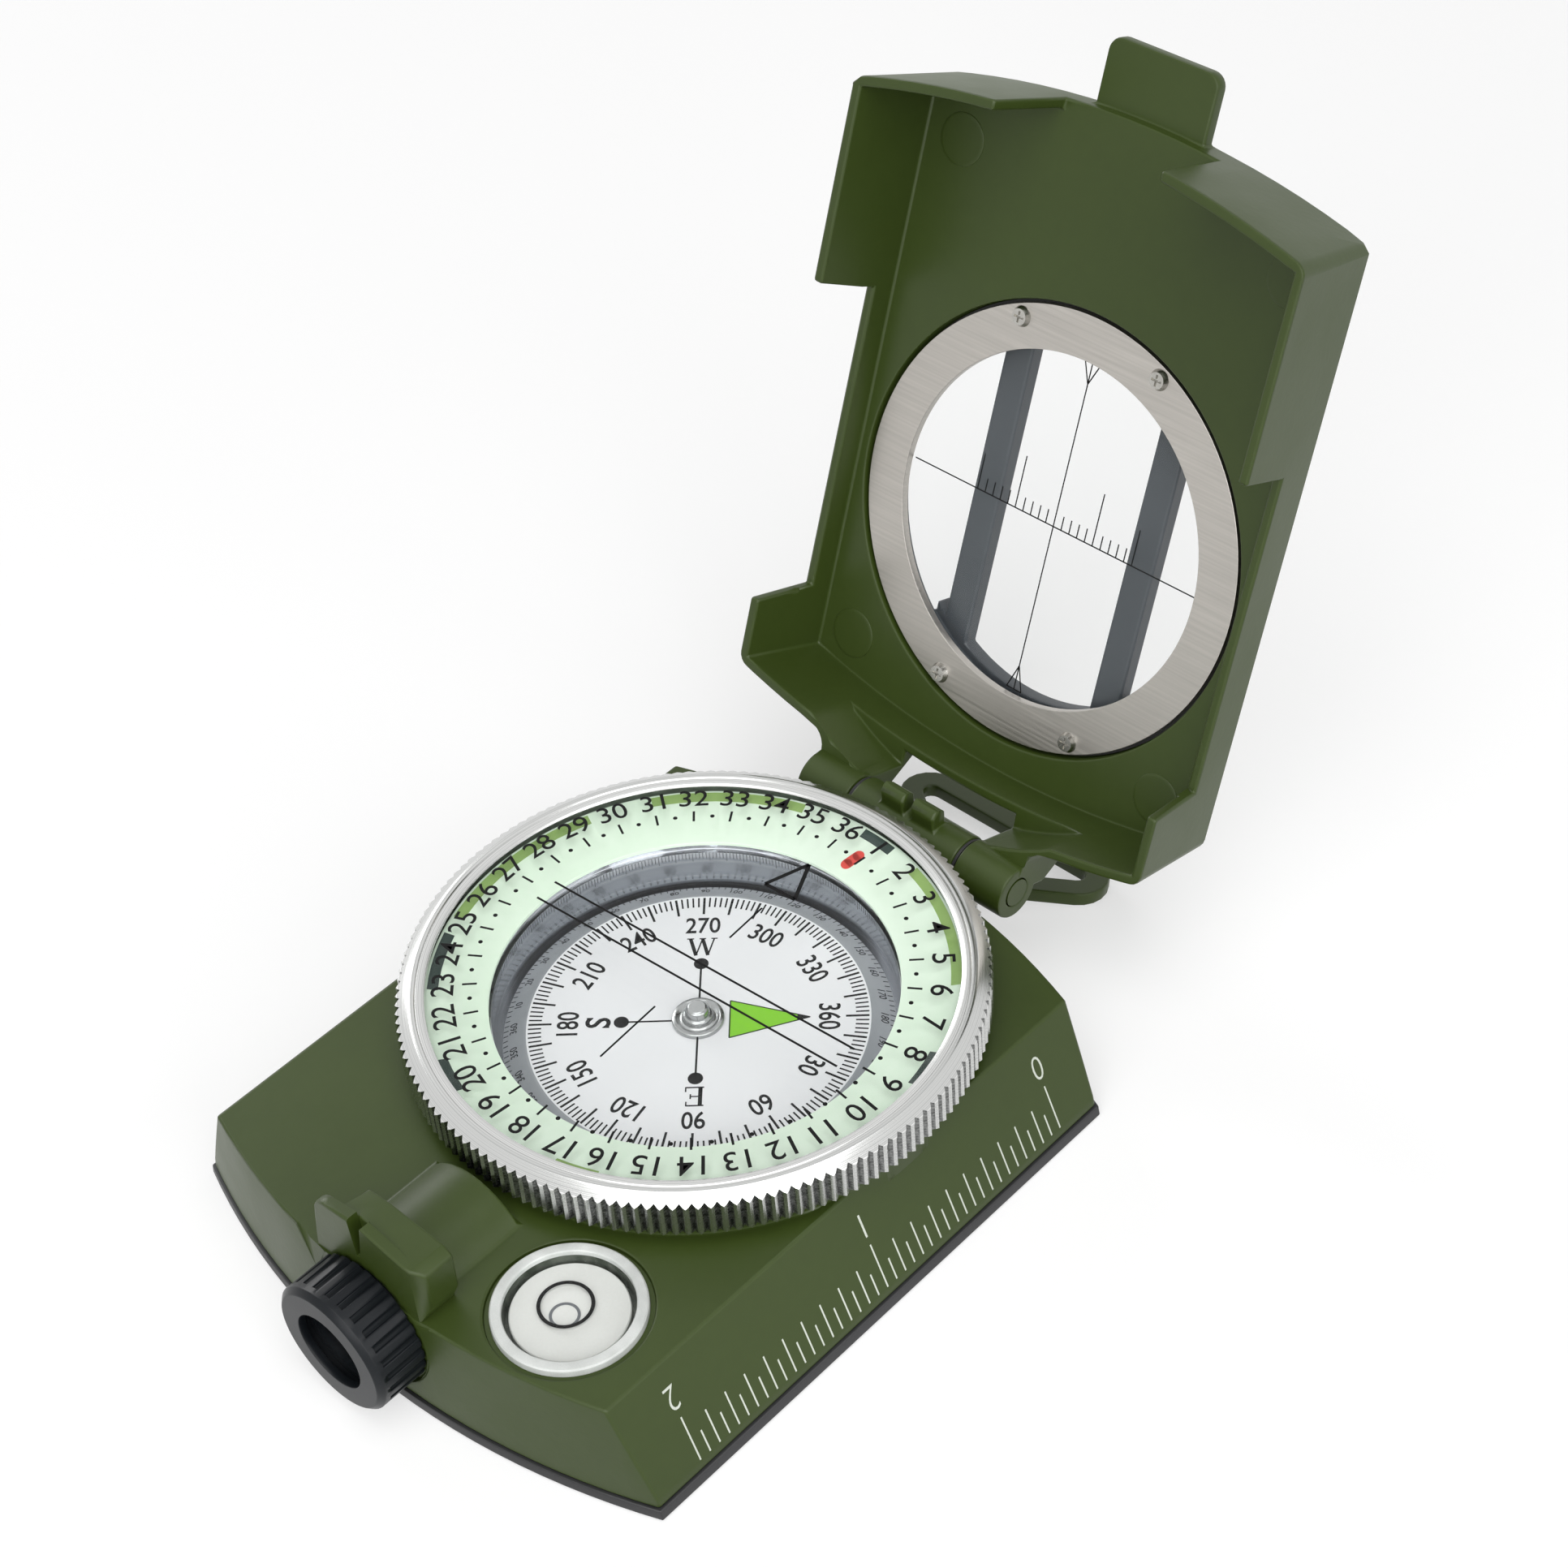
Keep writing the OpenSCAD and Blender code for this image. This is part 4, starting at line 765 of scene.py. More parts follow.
class Print:
    """Thin raised print, stamped shape by shape into one mesh on a local plane."""

    INK = 0.016

    def __init__(self, plane: Matrix = Matrix.Identity(4)) -> None:
        """Starts an empty print.

        Args:
            plane: Place of the print's plane, with its translation in millimetres.
        """
        self.bm = bmesh.new()
        self.plane = plane

    def _place(self, verts: list[bmesh.types.BMVert], local: Matrix = Matrix.Identity(4)) -> None:
        """Moves new vertices by the local matrix and the plane, and from millimetres to metres."""
        bmesh.ops.transform(self.bm, matrix=Matrix.Scale(MM, 4) @ self.plane @ local, verts=verts)

    def bar(self, start: Point, end: Point, width: float, local: Matrix = Matrix.Identity(4)) -> None:
        """Stamps a straight bar between two points.

        Args:
            start: First point in the plane.
            end: Last point in the plane.
            width: Width of the bar.
            local: Extra placement within the plane.
        """
        a, b = Vector((*start, 0.0)), Vector((*end, 0.0))
        turn = Matrix.Rotation(math.atan2(b.y - a.y, b.x - a.x), 4, "Z")
        size = Matrix.Diagonal(((b - a).length, width, self.INK, 1.0))
        verts = bmesh.ops.create_cube(self.bm, size=1.0)["verts"]
        lift = Matrix.Translation((a + b) / 2 + Vector((0, 0, self.INK / 2)))
        self._place(verts, local @ lift @ turn @ size)

    def disc(self, centre: Point, radius: float, local: Matrix = Matrix.Identity(4)) -> None:
        """Stamps a round dot."""
        made = bmesh.ops.create_cone(
            self.bm, cap_ends=True, segments=20, radius1=radius, radius2=radius, depth=self.INK,
        )
        self._place(made["verts"], local @ Matrix.Translation((*centre, self.INK / 2)))

    def polygon(self, points: list[Point]) -> None:
        """Stamps a filled outline."""
        base = [self.bm.verts.new((x, y, 0.0)) for x, y in points]
        face = self.bm.faces.new(base)
        grown = bmesh.ops.extrude_face_region(self.bm, geom=[face])["geom"]
        top = [v for v in grown if isinstance(v, bmesh.types.BMVert)]
        bmesh.ops.translate(self.bm, verts=top, vec=(0, 0, self.INK))
        self._place([*base, *top])

    def band(self, inner: float, outer: float, start: float, end: float, rise: float = 0.0) -> None:
        """Stamps part of a ring, flat or on a cone.

        Args:
            inner: Inner radius.
            outer: Outer radius.
            start: First angle in degrees.
            end: Last angle in degrees.
            rise: Height of the outer over the inner edge.
        """
        corners = [(inner, 0.0), (outer, rise), (outer, rise + self.INK), (inner, self.INK)]
        sweep = math.radians(end - start)
        turn = Matrix.Rotation(math.radians(start), 3, "Z")
        base = [self.bm.verts.new(turn @ Vector((r, 0.0, z))) for r, z in corners]
        whole = abs(abs(end - start) - 360.0) < 0.01
        geom = [*base, *[self.bm.edges.new((base[i], base[(i + 1) % 4])) for i in range(4)]]
        if not whole:
            geom = [self.bm.faces.new(base), *geom]
        known = set(self.bm.verts) - set(base)
        bmesh.ops.spin(
            self.bm, geom=geom, cent=(0, 0, 0), axis=(0, 0, 1), angle=sweep,
            steps=max(3, int(abs(end - start) / 3)), use_merge=whole,
        )
        self._place([v for v in self.bm.verts if v not in known])

    @staticmethod
    def _solid(holder: bpy.types.Object) -> bpy.types.Mesh:
        """Returns the mesh of a text object as it stands."""
        graph = bpy.context.evaluated_depsgraph_get()
        return bpy.data.meshes.new_from_object(holder.evaluated_get(graph))

    def text(
        self, body: str, height: float, centre: Point, turn: float, stretch: float = 1.0, bold: float = 0.0,
        local: Matrix = Matrix.Identity(4),
    ) -> None:
        """Stamps figures or letters.

        Args:
            body: The characters.
            height: Their height.
            centre: Centre of their box in the plane.
            turn: Turn in degrees from upright.
            stretch: Width as a share of the font's own.
            bold: How far the outlines are thickened.
            local: Extra placement within the plane.
        """
        curve = bpy.data.curves.new("figures", "FONT")
        curve.body = body
        curve.extrude = 0.5
        curve.resolution_u = 4
        holder = bpy.data.objects.new("figures", curve)
        bpy.context.scene.collection.objects.link(holder)
        mesh = self._solid(holder)
        low = Vector([min(v.co[i] for v in mesh.vertices) for i in range(3)])
        high = Vector([max(v.co[i] for v in mesh.vertices) for i in range(3)])
        scale = height / (high.y - low.y)
        if bold:
            curve.offset = bold / scale
            bpy.context.view_layer.update()
            bpy.data.meshes.remove(mesh)
            mesh = self._solid(holder)
        mid = (low + high) / 2
        size = Matrix.Diagonal((scale * stretch, scale, self.INK, 1.0))
        mesh.transform(size @ Matrix.Translation((-mid.x, -mid.y, 0.5)))
        known = set(self.bm.verts)
        self.bm.from_mesh(mesh)
        fresh = [v for v in self.bm.verts if v not in known]
        place = Matrix.Translation((*centre, 0.0)) @ Matrix.Rotation(math.radians(turn), 4, "Z")
        self._place(fresh, local @ place)
        bpy.data.objects.remove(holder)
        bpy.data.curves.remove(curve)
        bpy.data.meshes.remove(mesh)

    def finish(self, name: str, finish: Finish, body: Body, slot: Slot) -> bpy.types.Object:
        """Makes the piece, with its doubles merged and its faces outwards."""
        bmesh.ops.remove_doubles(self.bm, verts=self.bm.verts, dist=0.0002 * MM)
        bmesh.ops.recalc_face_normals(self.bm, faces=self.bm.faces)
        return finish_piece(name, self.bm, finish, body)


def about(angle: float) -> Matrix:
    """Returns a turn about the plane's centre, in degrees."""
    return Matrix.Rotation(math.radians(angle), 4, "Z")


def at_height(z: float) -> Matrix:
    """Returns the plane at a height."""
    return Matrix.Translation((0.0, 0.0, z))


def dress_nodes(finish: Finish, *nodes: str) -> None:
    """Gives nodes that stay as they are their finish."""
    for node in nodes:
        mesh = frame["nodes"][node].data
        mesh.materials.clear()
        mesh.materials.append(finish.material())
        LOG.info("%s: dressed as %s", node, finish.name)


def soft_copy(
    node: str, name: str, edge: float, finish: Finish, body: Body, segments: int = 2,
) -> None:
    """Makes a piece that stands for a node and has its shape, with softened edges.

    Args:
        node: The node.
        name: Name of the piece.
        edge: Width of its bevel; 0 leaves the edges as they are.
        finish: Its finish.
        body: Its body.
        segments: Number of steps of the bevel.
    """
    bm = merged_copy(node)
    if edge:
        round_edges(bm, edge, segments)
    finish_piece(name, bm, finish, body, (node,))


# Sub-assemblies

BEZEL_ZERO = 93.72


@dataclass
class Housing:
    """Cast housing, bottom plate, screws, hinge pins and the ruler printed on the slanted side."""

    casting_edge: float = 0.3
    plate_edge: float = 0.15
    fold_half: float = 30.9
    top_half: float = 26.6
    fold_z: float = 2.45
    top_z: float = 12.7
    inch: float = 25.4
    inches: int = 2
    parts: int = 20
    zero_y: float = 18.03
    mark_low: float = 2.47
    inch_mark: float = 5.07
    tenth_mark: float = 3.86
    short_mark: float = 2.47
    mark_w: float = 0.17
    figure_h: float = 2.7
    figure_up: float = 7.27
    figure_stretch: float = 0.8
    figure_bold: float = -0.05

    def build(self) -> None:
        """Builds all pieces."""
        soft_copy("base_housing", "housing_casting", self.casting_edge, OLIVE, Body.HOUSING)
        self.cover()
        dress_nodes(STEEL, "plate_screws", "bezel_snap_ring", "loop_pin")
        dress_nodes(OLIVE, "hinge_pin")
        dress_nodes(RUBBER, "hinge_washers")
        self.ruler()

    def cover(self) -> None:
        """Softens the bottom plate and keeps it on the ground."""
        bm = merged_copy("bottom_plate")
        round_edges(bm, self.plate_edge)
        ground = box_mm("bottom_plate")[0].z * MM
        for v in bm.verts:
            v.co.z = max(v.co.z, ground)
        finish_piece("bottom_cover", bm, BLACK_PLATE, Body.HOUSING, ("bottom_plate",))

    def side_plane(self) -> Matrix:
        """Returns the plane of the ruler: its x runs along -Y and its y down the slanted side."""
        fall = Vector((self.fold_half - self.top_half, 0.0, self.fold_z - self.top_z)).normalized()
        along = Vector((0.0, -1.0, 0.0))
        foot_x = self.fold_half + fall.x * (self.fold_z - self.mark_low) / -fall.z
        turn = Matrix((along, fall, along.cross(fall))).transposed().to_4x4()
        return Matrix.Translation((foot_x, self.zero_y, self.mark_low)) @ turn

    def ruler(self) -> None:
        """Prints two inches in twentieths, with plain figures."""
        ink = Print(self.side_plane())
        for i in range(self.inches * self.parts + 1):
            length = self.short_mark if i % 2 else self.tenth_mark
            if i % self.parts == 0:
                length = self.inch_mark
            x = i * self.inch / self.parts
            ink.bar((x, 0.0), (x, -length), self.mark_w)
        for i in range(self.inches + 1):
            at = (i * self.inch, -self.figure_up)
            ink.text(str(i), self.figure_h, at, 0.0, self.figure_stretch, self.figure_bold)
        ink.finish("ruler_marks", PALE_INK, Body.HOUSING, Slot.OLIVE)


@dataclass
class Level:
    """Round level: white dish, groove wall in painted shade with streaks of painted reflection, clear cap,
    frosted border, black circle, and a bubble drawn only as a painted dark rim.
    """

    x: float = 16.1
    y: float = -33.35
    wall: float = 0.3
    gap: float = 0.02
    draft: float = 0.05
    disc_r: float = 5.6
    disc_edge: float = 0.1
    disc_depth: float = 1.0
    groove_depth: float = 2.4
    rim_w: float = 0.85
    cap_t: float = 0.6
    border_round: float = 0.4
    bore_r: float = 7.78
    seat_z: float = 12.35
    circle_r: float = 2.5
    circle_w: float = 0.36
    circle_at: Point = (-0.65, 0.17)
    bubble_r: float = 1.45
    bubble_w: float = 0.28
    bubble_lift: float = 0.03
    bubble_at: Point = (-0.06, -0.59)

    def build(self) -> None:
        """Builds all pieces."""
        low, high = box_mm("level_vial")
        outer = (high.x - low.x) / 2
        inner, foot, top = outer - self.wall, low.z, high.z
        edge_r, rim_z, disc_z = inner - self.rim_w, top - self.cap_t, top - self.disc_depth
        self.turn_piece("level_dish", [
            (0.0, foot), (self.disc_r, foot), (self.disc_r, disc_z - self.disc_edge),
            (self.disc_r - self.disc_edge, disc_z), (0.0, disc_z),
        ], 96, DISH, ("level_tray",), closed=False)
        # The groove wall carries painted shade and streaks of painted reflection
        groove_r, groove_z = self.disc_r + self.gap, top - self.groove_depth
        self.turn_piece("level_wall", [
            (groove_r, foot), (inner - self.draft, foot), (inner - self.draft, rim_z - self.gap),
            (edge_r, rim_z - self.gap), (edge_r - self.draft, groove_z), (groove_r, groove_z),
        ], 120, GROOVE_SHADE)
        cap = [(0.0, top), (edge_r, top), (edge_r, rim_z), (0.0, rim_z)]
        self.turn_piece("level_cap", cap, 128, PANE, ("level_vial",))
        inside, under = edge_r + self.gap / 2, rim_z + self.gap / 2
        crown = rounded([(inside, under), (inside, top), (outer, top), (outer, foot)], self.border_round)
        self.turn_piece("level_border", [*crown, (inner, foot), (inner, under)], 128, FROST)
        bed = outer + self.gap
        seat = [(bed, foot), (self.bore_r, foot), (self.bore_r, self.seat_z), (bed, self.seat_z)]
        self.turn_piece("level_seat", seat, 96, OLIVE)
        half = self.circle_w / 2
        circle = (self.circle_r - half, self.circle_r + half)
        self.print_ring("level_circle", self.circle_at, rim_z - 2 * Print.INK, circle, BLACK_INK)
        # The bubble is only a painted dark rim, where light bends at its edge
        bubble = (self.bubble_r - self.bubble_w, self.bubble_r)
        self.print_ring("level_bubble_painted_rim", self.bubble_at, disc_z + self.bubble_lift, bubble, GREY_INK_AND_BUBBLE_SHADE)

    def turn_piece(
        self, name: str, profile: list[Point], steps: int, finish: Finish,
        stands_for: tuple[str, ...] = (), closed: bool = True,
    ) -> None:
        """Turns one piece of the level and sets it in its bore.

        Args:
            name: Name of the piece.
            profile: Its points, as for turned.
            steps: Number of steps round.
            finish: Its finish.
            stands_for: The nodes it replaces.
            closed: Whether the profile's last point joins the first.
        """
        bm = turned(profile, steps, closed)
        bm.transform(Matrix.Translation((self.x * MM, self.y * MM, 0.0)))
        finish_piece(name, bm, finish, Body.HOUSING, stands_for)

    def print_ring(self, name: str, at: Point, height: float, radii: Point, finish: Finish) -> None:
        """Prints one ring on the level, such as the black circle and the bubble's painted dark rim.

        Args:
            name: Name of the piece.
            at: Place of the ring from the level's centre.
            height: Height of the ring.
            radii: Its inner and outer radius.
            finish: Its finish.
        """
        ink = Print(Matrix.Translation((self.x + at[0], self.y + at[1], height)))
        ink.band(*radii, 0.0, 360.0)
        ink.finish(name, finish, Body.HOUSING, Slot.PRINT)


@dataclass
class Capsule:
    """Metal cup with its glass, the pale green ring over it, and on that ring the red index and arcs of
    painted shade.
    """

    cup_r: float = 20.0
    ring_in: float = 20.1
    ring_out: float = 26.0
    ring_rise: float = 1.35
    ring_edge: float = 0.06
    arc_in: float = 24.95
    arc_lift: float = 0.004
    # Arcs of painted shade, green-tinted and dark, on the green ring
    moss_arcs: tuple[Point, ...] = ((1.9, 5.6), (16.0, 17.0), (25.3, 29.5), (31.0, 34.6))
    dark_arcs: tuple[Point, ...] = ((0.2, 1.1), (7.6, 8.6), (20.0, 21.0), (23.1, 24.8))
    index_in: float = 21.1
    index_out: float = 23.8
    index_at: float = 88.6
    index_w: float = 1.2
    index_lean: float = -13.6
    index_lift: float = 0.02
    degree_mark: float = 0.75
    fifth_mark: float = 1.1
    degree_w: float = 0.07
    marks_inward: float = 0.005
    marks_down: float = 0.05

    def build(self) -> None:
        """Builds all pieces."""
        dress_nodes(CUP_METAL, "capsule_cup")
        dress_nodes(BRASS, "pivot_post")
        dress_nodes(PANE, "sight_window", "capsule_glass")
        soft_copy("lume_ring", "glow_ring", self.ring_edge, LUME, Body.HOUSING, segments=1)
        self.arcs("ring_painted_green_shade", self.moss_arcs, GREEN_RING_SHADE)
        self.arcs("ring_painted_dark_shade", self.dark_arcs, DARK_RING_SHADE)
        self.index()
        self.wall_marks()

    def ramp(self, r: float) -> float:
        """Returns the green ring's height at a radius."""
        top = box_mm("lume_ring")[1].z
        return top - (self.ring_out - r) * self.ring_rise / (self.ring_out - self.ring_in)

    def arcs(self, name: str, spans: tuple[Point, ...], finish: Finish) -> None:
        """Paints arcs of shade, green-tinted and dark, on the green ring.

        Args:
            name: Name of the piece.
            spans: First and last place of each arc, in numbers of the bezel at rest.
            finish: Their painted shade.
        """
        rise = self.ramp(self.ring_out) - self.ramp(self.arc_in)
        ink = Print(at_height(self.ramp(self.arc_in) + self.arc_lift))
        for first, last in spans:
            ink.band(self.arc_in, self.ring_out, BEZEL_ZERO - 10.0 * first, BEZEL_ZERO - 10.0 * last, rise)
        ink.finish(name, finish, Body.HOUSING, Slot.LUME)

    def index(self) -> None:
        """Prints the red index, which lies on the ring's slope and leans about its middle."""
        reach = self.index_out - self.index_in
        slope = math.atan2(self.ramp(self.index_out) - self.ramp(self.index_in), reach)
        foot = Matrix.Translation((self.index_in, 0.0, self.ramp(self.index_in) + self.index_lift))
        middle = Matrix.Translation((reach / 2, 0.0, 0.0))
        lean = middle @ about(self.index_lean) @ middle.inverted()
        ink = Print(about(self.index_at) @ foot @ Matrix.Rotation(-slope, 4, "Y") @ lean)
        half = self.index_w / 2
        ends = (half, 0.0), (reach - half, 0.0)
        ink.bar(*ends, self.index_w)
        for end in ends:
            ink.disc(end, half)
        ink.finish("ring_index", RED_INK, Body.HOUSING, Slot.LUME)

    def wall_marks(self) -> None:
        """Prints fine degree marks round the top of the cup's wall."""
        top = box_mm("capsule_glass")[0].z
        foot = Matrix.Translation((self.cup_r - self.marks_inward, 0.0, top - self.marks_down))
        stand = foot @ Matrix.Rotation(-math.pi / 2, 4, "Y")
        ink = Print()
        for i in range(360):
            length = self.degree_mark if i % 5 else self.fifth_mark
            ink.bar((-length, 0.0), (0.0, 0.0), self.degree_w, about(i) @ stand)
        ink.finish("cup_degree_marks", GREY_INK_AND_BUBBLE_SHADE, Body.HOUSING, Slot.BRIGHT)


# Strokes of the card's letters: start x and y, end x and y, and width
STROKES = {
    "W": (
        (-1.20, 1.15, -0.58, -1.15, 0.36), (-0.58, -1.15, 0.02, 1.15, 0.15), (0.02, 1.15, 0.62, -1.15, 0.36),
        (0.62, -1.15, 1.20, 1.15, 0.15), (-1.55, 1.15, -0.85, 1.15, 0.14), (-0.30, 1.15, 0.36, 1.15, 0.14),
        (0.90, 1.15, 1.52, 1.15, 0.14),
    ),
    "E": (
        (-0.55, -1.15, -0.55, 1.15, 0.40), (-0.90, 1.15, 0.80, 1.15, 0.16), (-0.90, -1.15, 0.88, -1.15, 0.16),
        (-0.55, 0.0, 0.40, 0.0, 0.14), (0.80, 1.20, 0.80, 0.65, 0.14), (0.88, -1.20, 0.88, -0.60, 0.14),
        (0.40, 0.30, 0.40, -0.30, 0.14),
    ),
    "S": ((0.62, 1.15, 0.62, 0.50, 0.14), (-0.62, -1.15, -0.62, -0.50, 0.14)),
}


@dataclass
class Card:
    """Floating dial card with its scale, figures, arrow, skirt and cap."""

    north: float = 41.8
    tick_out: float = 16.8
    long_tick: float = 2.3
    long_tick_w: float = 0.24
    short_tick: float = 1.3
    short_tick_w: float = 0.17
    figure_r: float = 12.9
    figure_h: float = 2.1
    figure_bold: float = 0.03
    stretch: float = 0.8
    letter_r: float = 9.9
    letter_h: float = 2.4
    letter_stretch: float = 0.9
    letter_bold: float = 0.06
    dot_at: float = 7.6
    dot_r: float = 0.75
    spoke_in: float = 2.4
    spoke_w: float = 0.2
    arrow_base: float = 3.1
    arrow_tip: float = 11.0
    arrow_half: float = 2.45
    arrow_green: float = 0.84
    outline_w: float = 0.13
    ink_step: float = 0.004
    skirt_in: float = 17.3
    skirt_out: float = 19.4
    skirt_drop: float = 1.1
    skirt_lift: float = 0.005
    skirt_mark: Point = (1.75, 2.3)
    skirt_mark_w: float = 0.09
    skirt_figure_at: float = 1.15
    skirt_figure_h: float = 0.85
    cap_round: float = 0.1

    def build(self) -> None:
        """Builds all pieces."""
        self.face_z = box_mm("compass_card")[1].z
        soft_copy("compass_card", "card_face", 0.0, WHITE, Body.CARD)
        soft_copy("card_skirt", "card_flange", 0.0, SKIRT, Body.CARD)
        dress_nodes(STEEL, "card_magnets")
        dress_nodes(JEWEL, "card_jewel")
        self.scale()
        self.arrow()
        self.flange_scale()
        self.cap()

    def bearing(self, degrees: float) -> float:
        """Returns the angle of a bearing on the card, which runs clockwise from north."""
        return self.north - degrees

    def scale(self) -> None:
        """Prints the ticks, figures, letters and dots."""
        ink = Print(at_height(self.face_z))
        for i in range(180):
            length, width = self.long_tick, self.long_tick_w
            if i % 5:
                length, width = self.short_tick, self.short_tick_w
            turn = about(self.bearing(2 * i))
            ink.bar((self.tick_out - length, 0.0), (self.tick_out, 0.0), width, turn)
        for degrees in range(30, 390, 30):
            turn = about(self.bearing(degrees))
            at = (self.figure_r, 0.0)
            ink.text(str(degrees), self.figure_h, at, -90.0, self.stretch, self.figure_bold, turn)
        for letter, degrees in (("E", 90), ("S", 180), ("W", 270)):
            turn = about(self.bearing(degrees))
            upright = turn @ Matrix.Translation((self.letter_r, 0.0, 0.0)) @ about(-90.0)
            if letter == "S":
                stretch, bold = self.letter_stretch, self.letter_bold
                ink.text(letter, self.letter_h, (0.0, 0.0), 0.0, stretch, bold, upright)
            for x0, y0, x1, y1, width in STROKES[letter]:
                ink.bar((x0, y0), (x1, y1), width, upright)
            ink.disc((self.dot_at, 0.0), self.dot_r, turn)
            ink.bar((self.spoke_in, 0.0), (self.dot_at, 0.0), self.spoke_w, turn)
        ink.finish("card_scale", BLACK_INK, Body.CARD, Slot.PRINT)

    def arrow(self) -> None:
        """Prints the green north arrow with its dark tip and outline."""
        base, tip, half = self.arrow_base, self.arrow_tip, self.arrow_half
        neck, neck_half = base + (tip - base) * self.arrow_green, half * (1 - self.arrow_green)
        fill = Print(at_height(self.face_z + self.ink_step) @ about(self.north))
        fill.polygon([(base, -half), (neck, -neck_half), (neck, neck_half), (base, half)])
        fill.finish("card_arrow", LIME_INK, Body.CARD, Slot.PRINT)
        edge = Print(at_height(self.face_z + 2 * self.ink_step) @ about(self.north))
        edge.polygon([(neck, -neck_half), (tip, 0.0), (neck, neck_half)])
        right, point, left = (base, -half), (tip, 0.0), (base, half)
        for start, end in ((right, point), (left, point), (right, left)):
            edge.bar(start, end, self.outline_w)
        edge.finish("card_arrow_outline", BLACK_INK, Body.CARD, Slot.PRINT)

    def flange_scale(self) -> None:
        """Prints the reversed scale on the sloped flange."""
        slope = math.atan2(self.skirt_drop, self.skirt_out - self.skirt_in)
        foot = Matrix.Translation((self.skirt_in, 0.0, self.face_z + self.skirt_lift))
        inner, outer = self.skirt_mark
        ink = Print()
        for i in range(180):
            cone = about(self.bearing(2 * i)) @ foot @ Matrix.Rotation(slope, 4, "Y")
            ink.bar((inner, 0.0), (outer, 0.0), self.skirt_mark_w, cone)
            if i % 5 == 0:
                figure = (2 * i + 180) % 360 or 360
                at = (self.skirt_figure_at, 0.0)
                ink.text(str(figure), self.skirt_figure_h, at, -90.0, self.stretch, 0.0, cone)
        ink.finish("card_flange_scale", BLACK_INK, Body.CARD, Slot.SKIRT)

    def cap(self) -> None:
        """Turns the cap over the pivot: a flat rim, a groove and a stepped knob."""
        z = self.face_z
        top = box_mm("card_cap")[1].z
        bm = turned(rounded([
            (0.0, z + 0.02), (2.6, z + 0.02), (2.6, z + 0.5), (2.2, z + 0.62), (1.85, z + 0.3),
            (1.55, z + 0.42), (1.45, z + 0.95), (1.2, z + 1.05), (1.12, top - 0.25), (0.85, top), (0.0, top),
        ], self.cap_round), steps=72, closed=False)
        finish_piece("card_cap_turned", bm, CAP_METAL, Body.CARD, ("card_cap",))


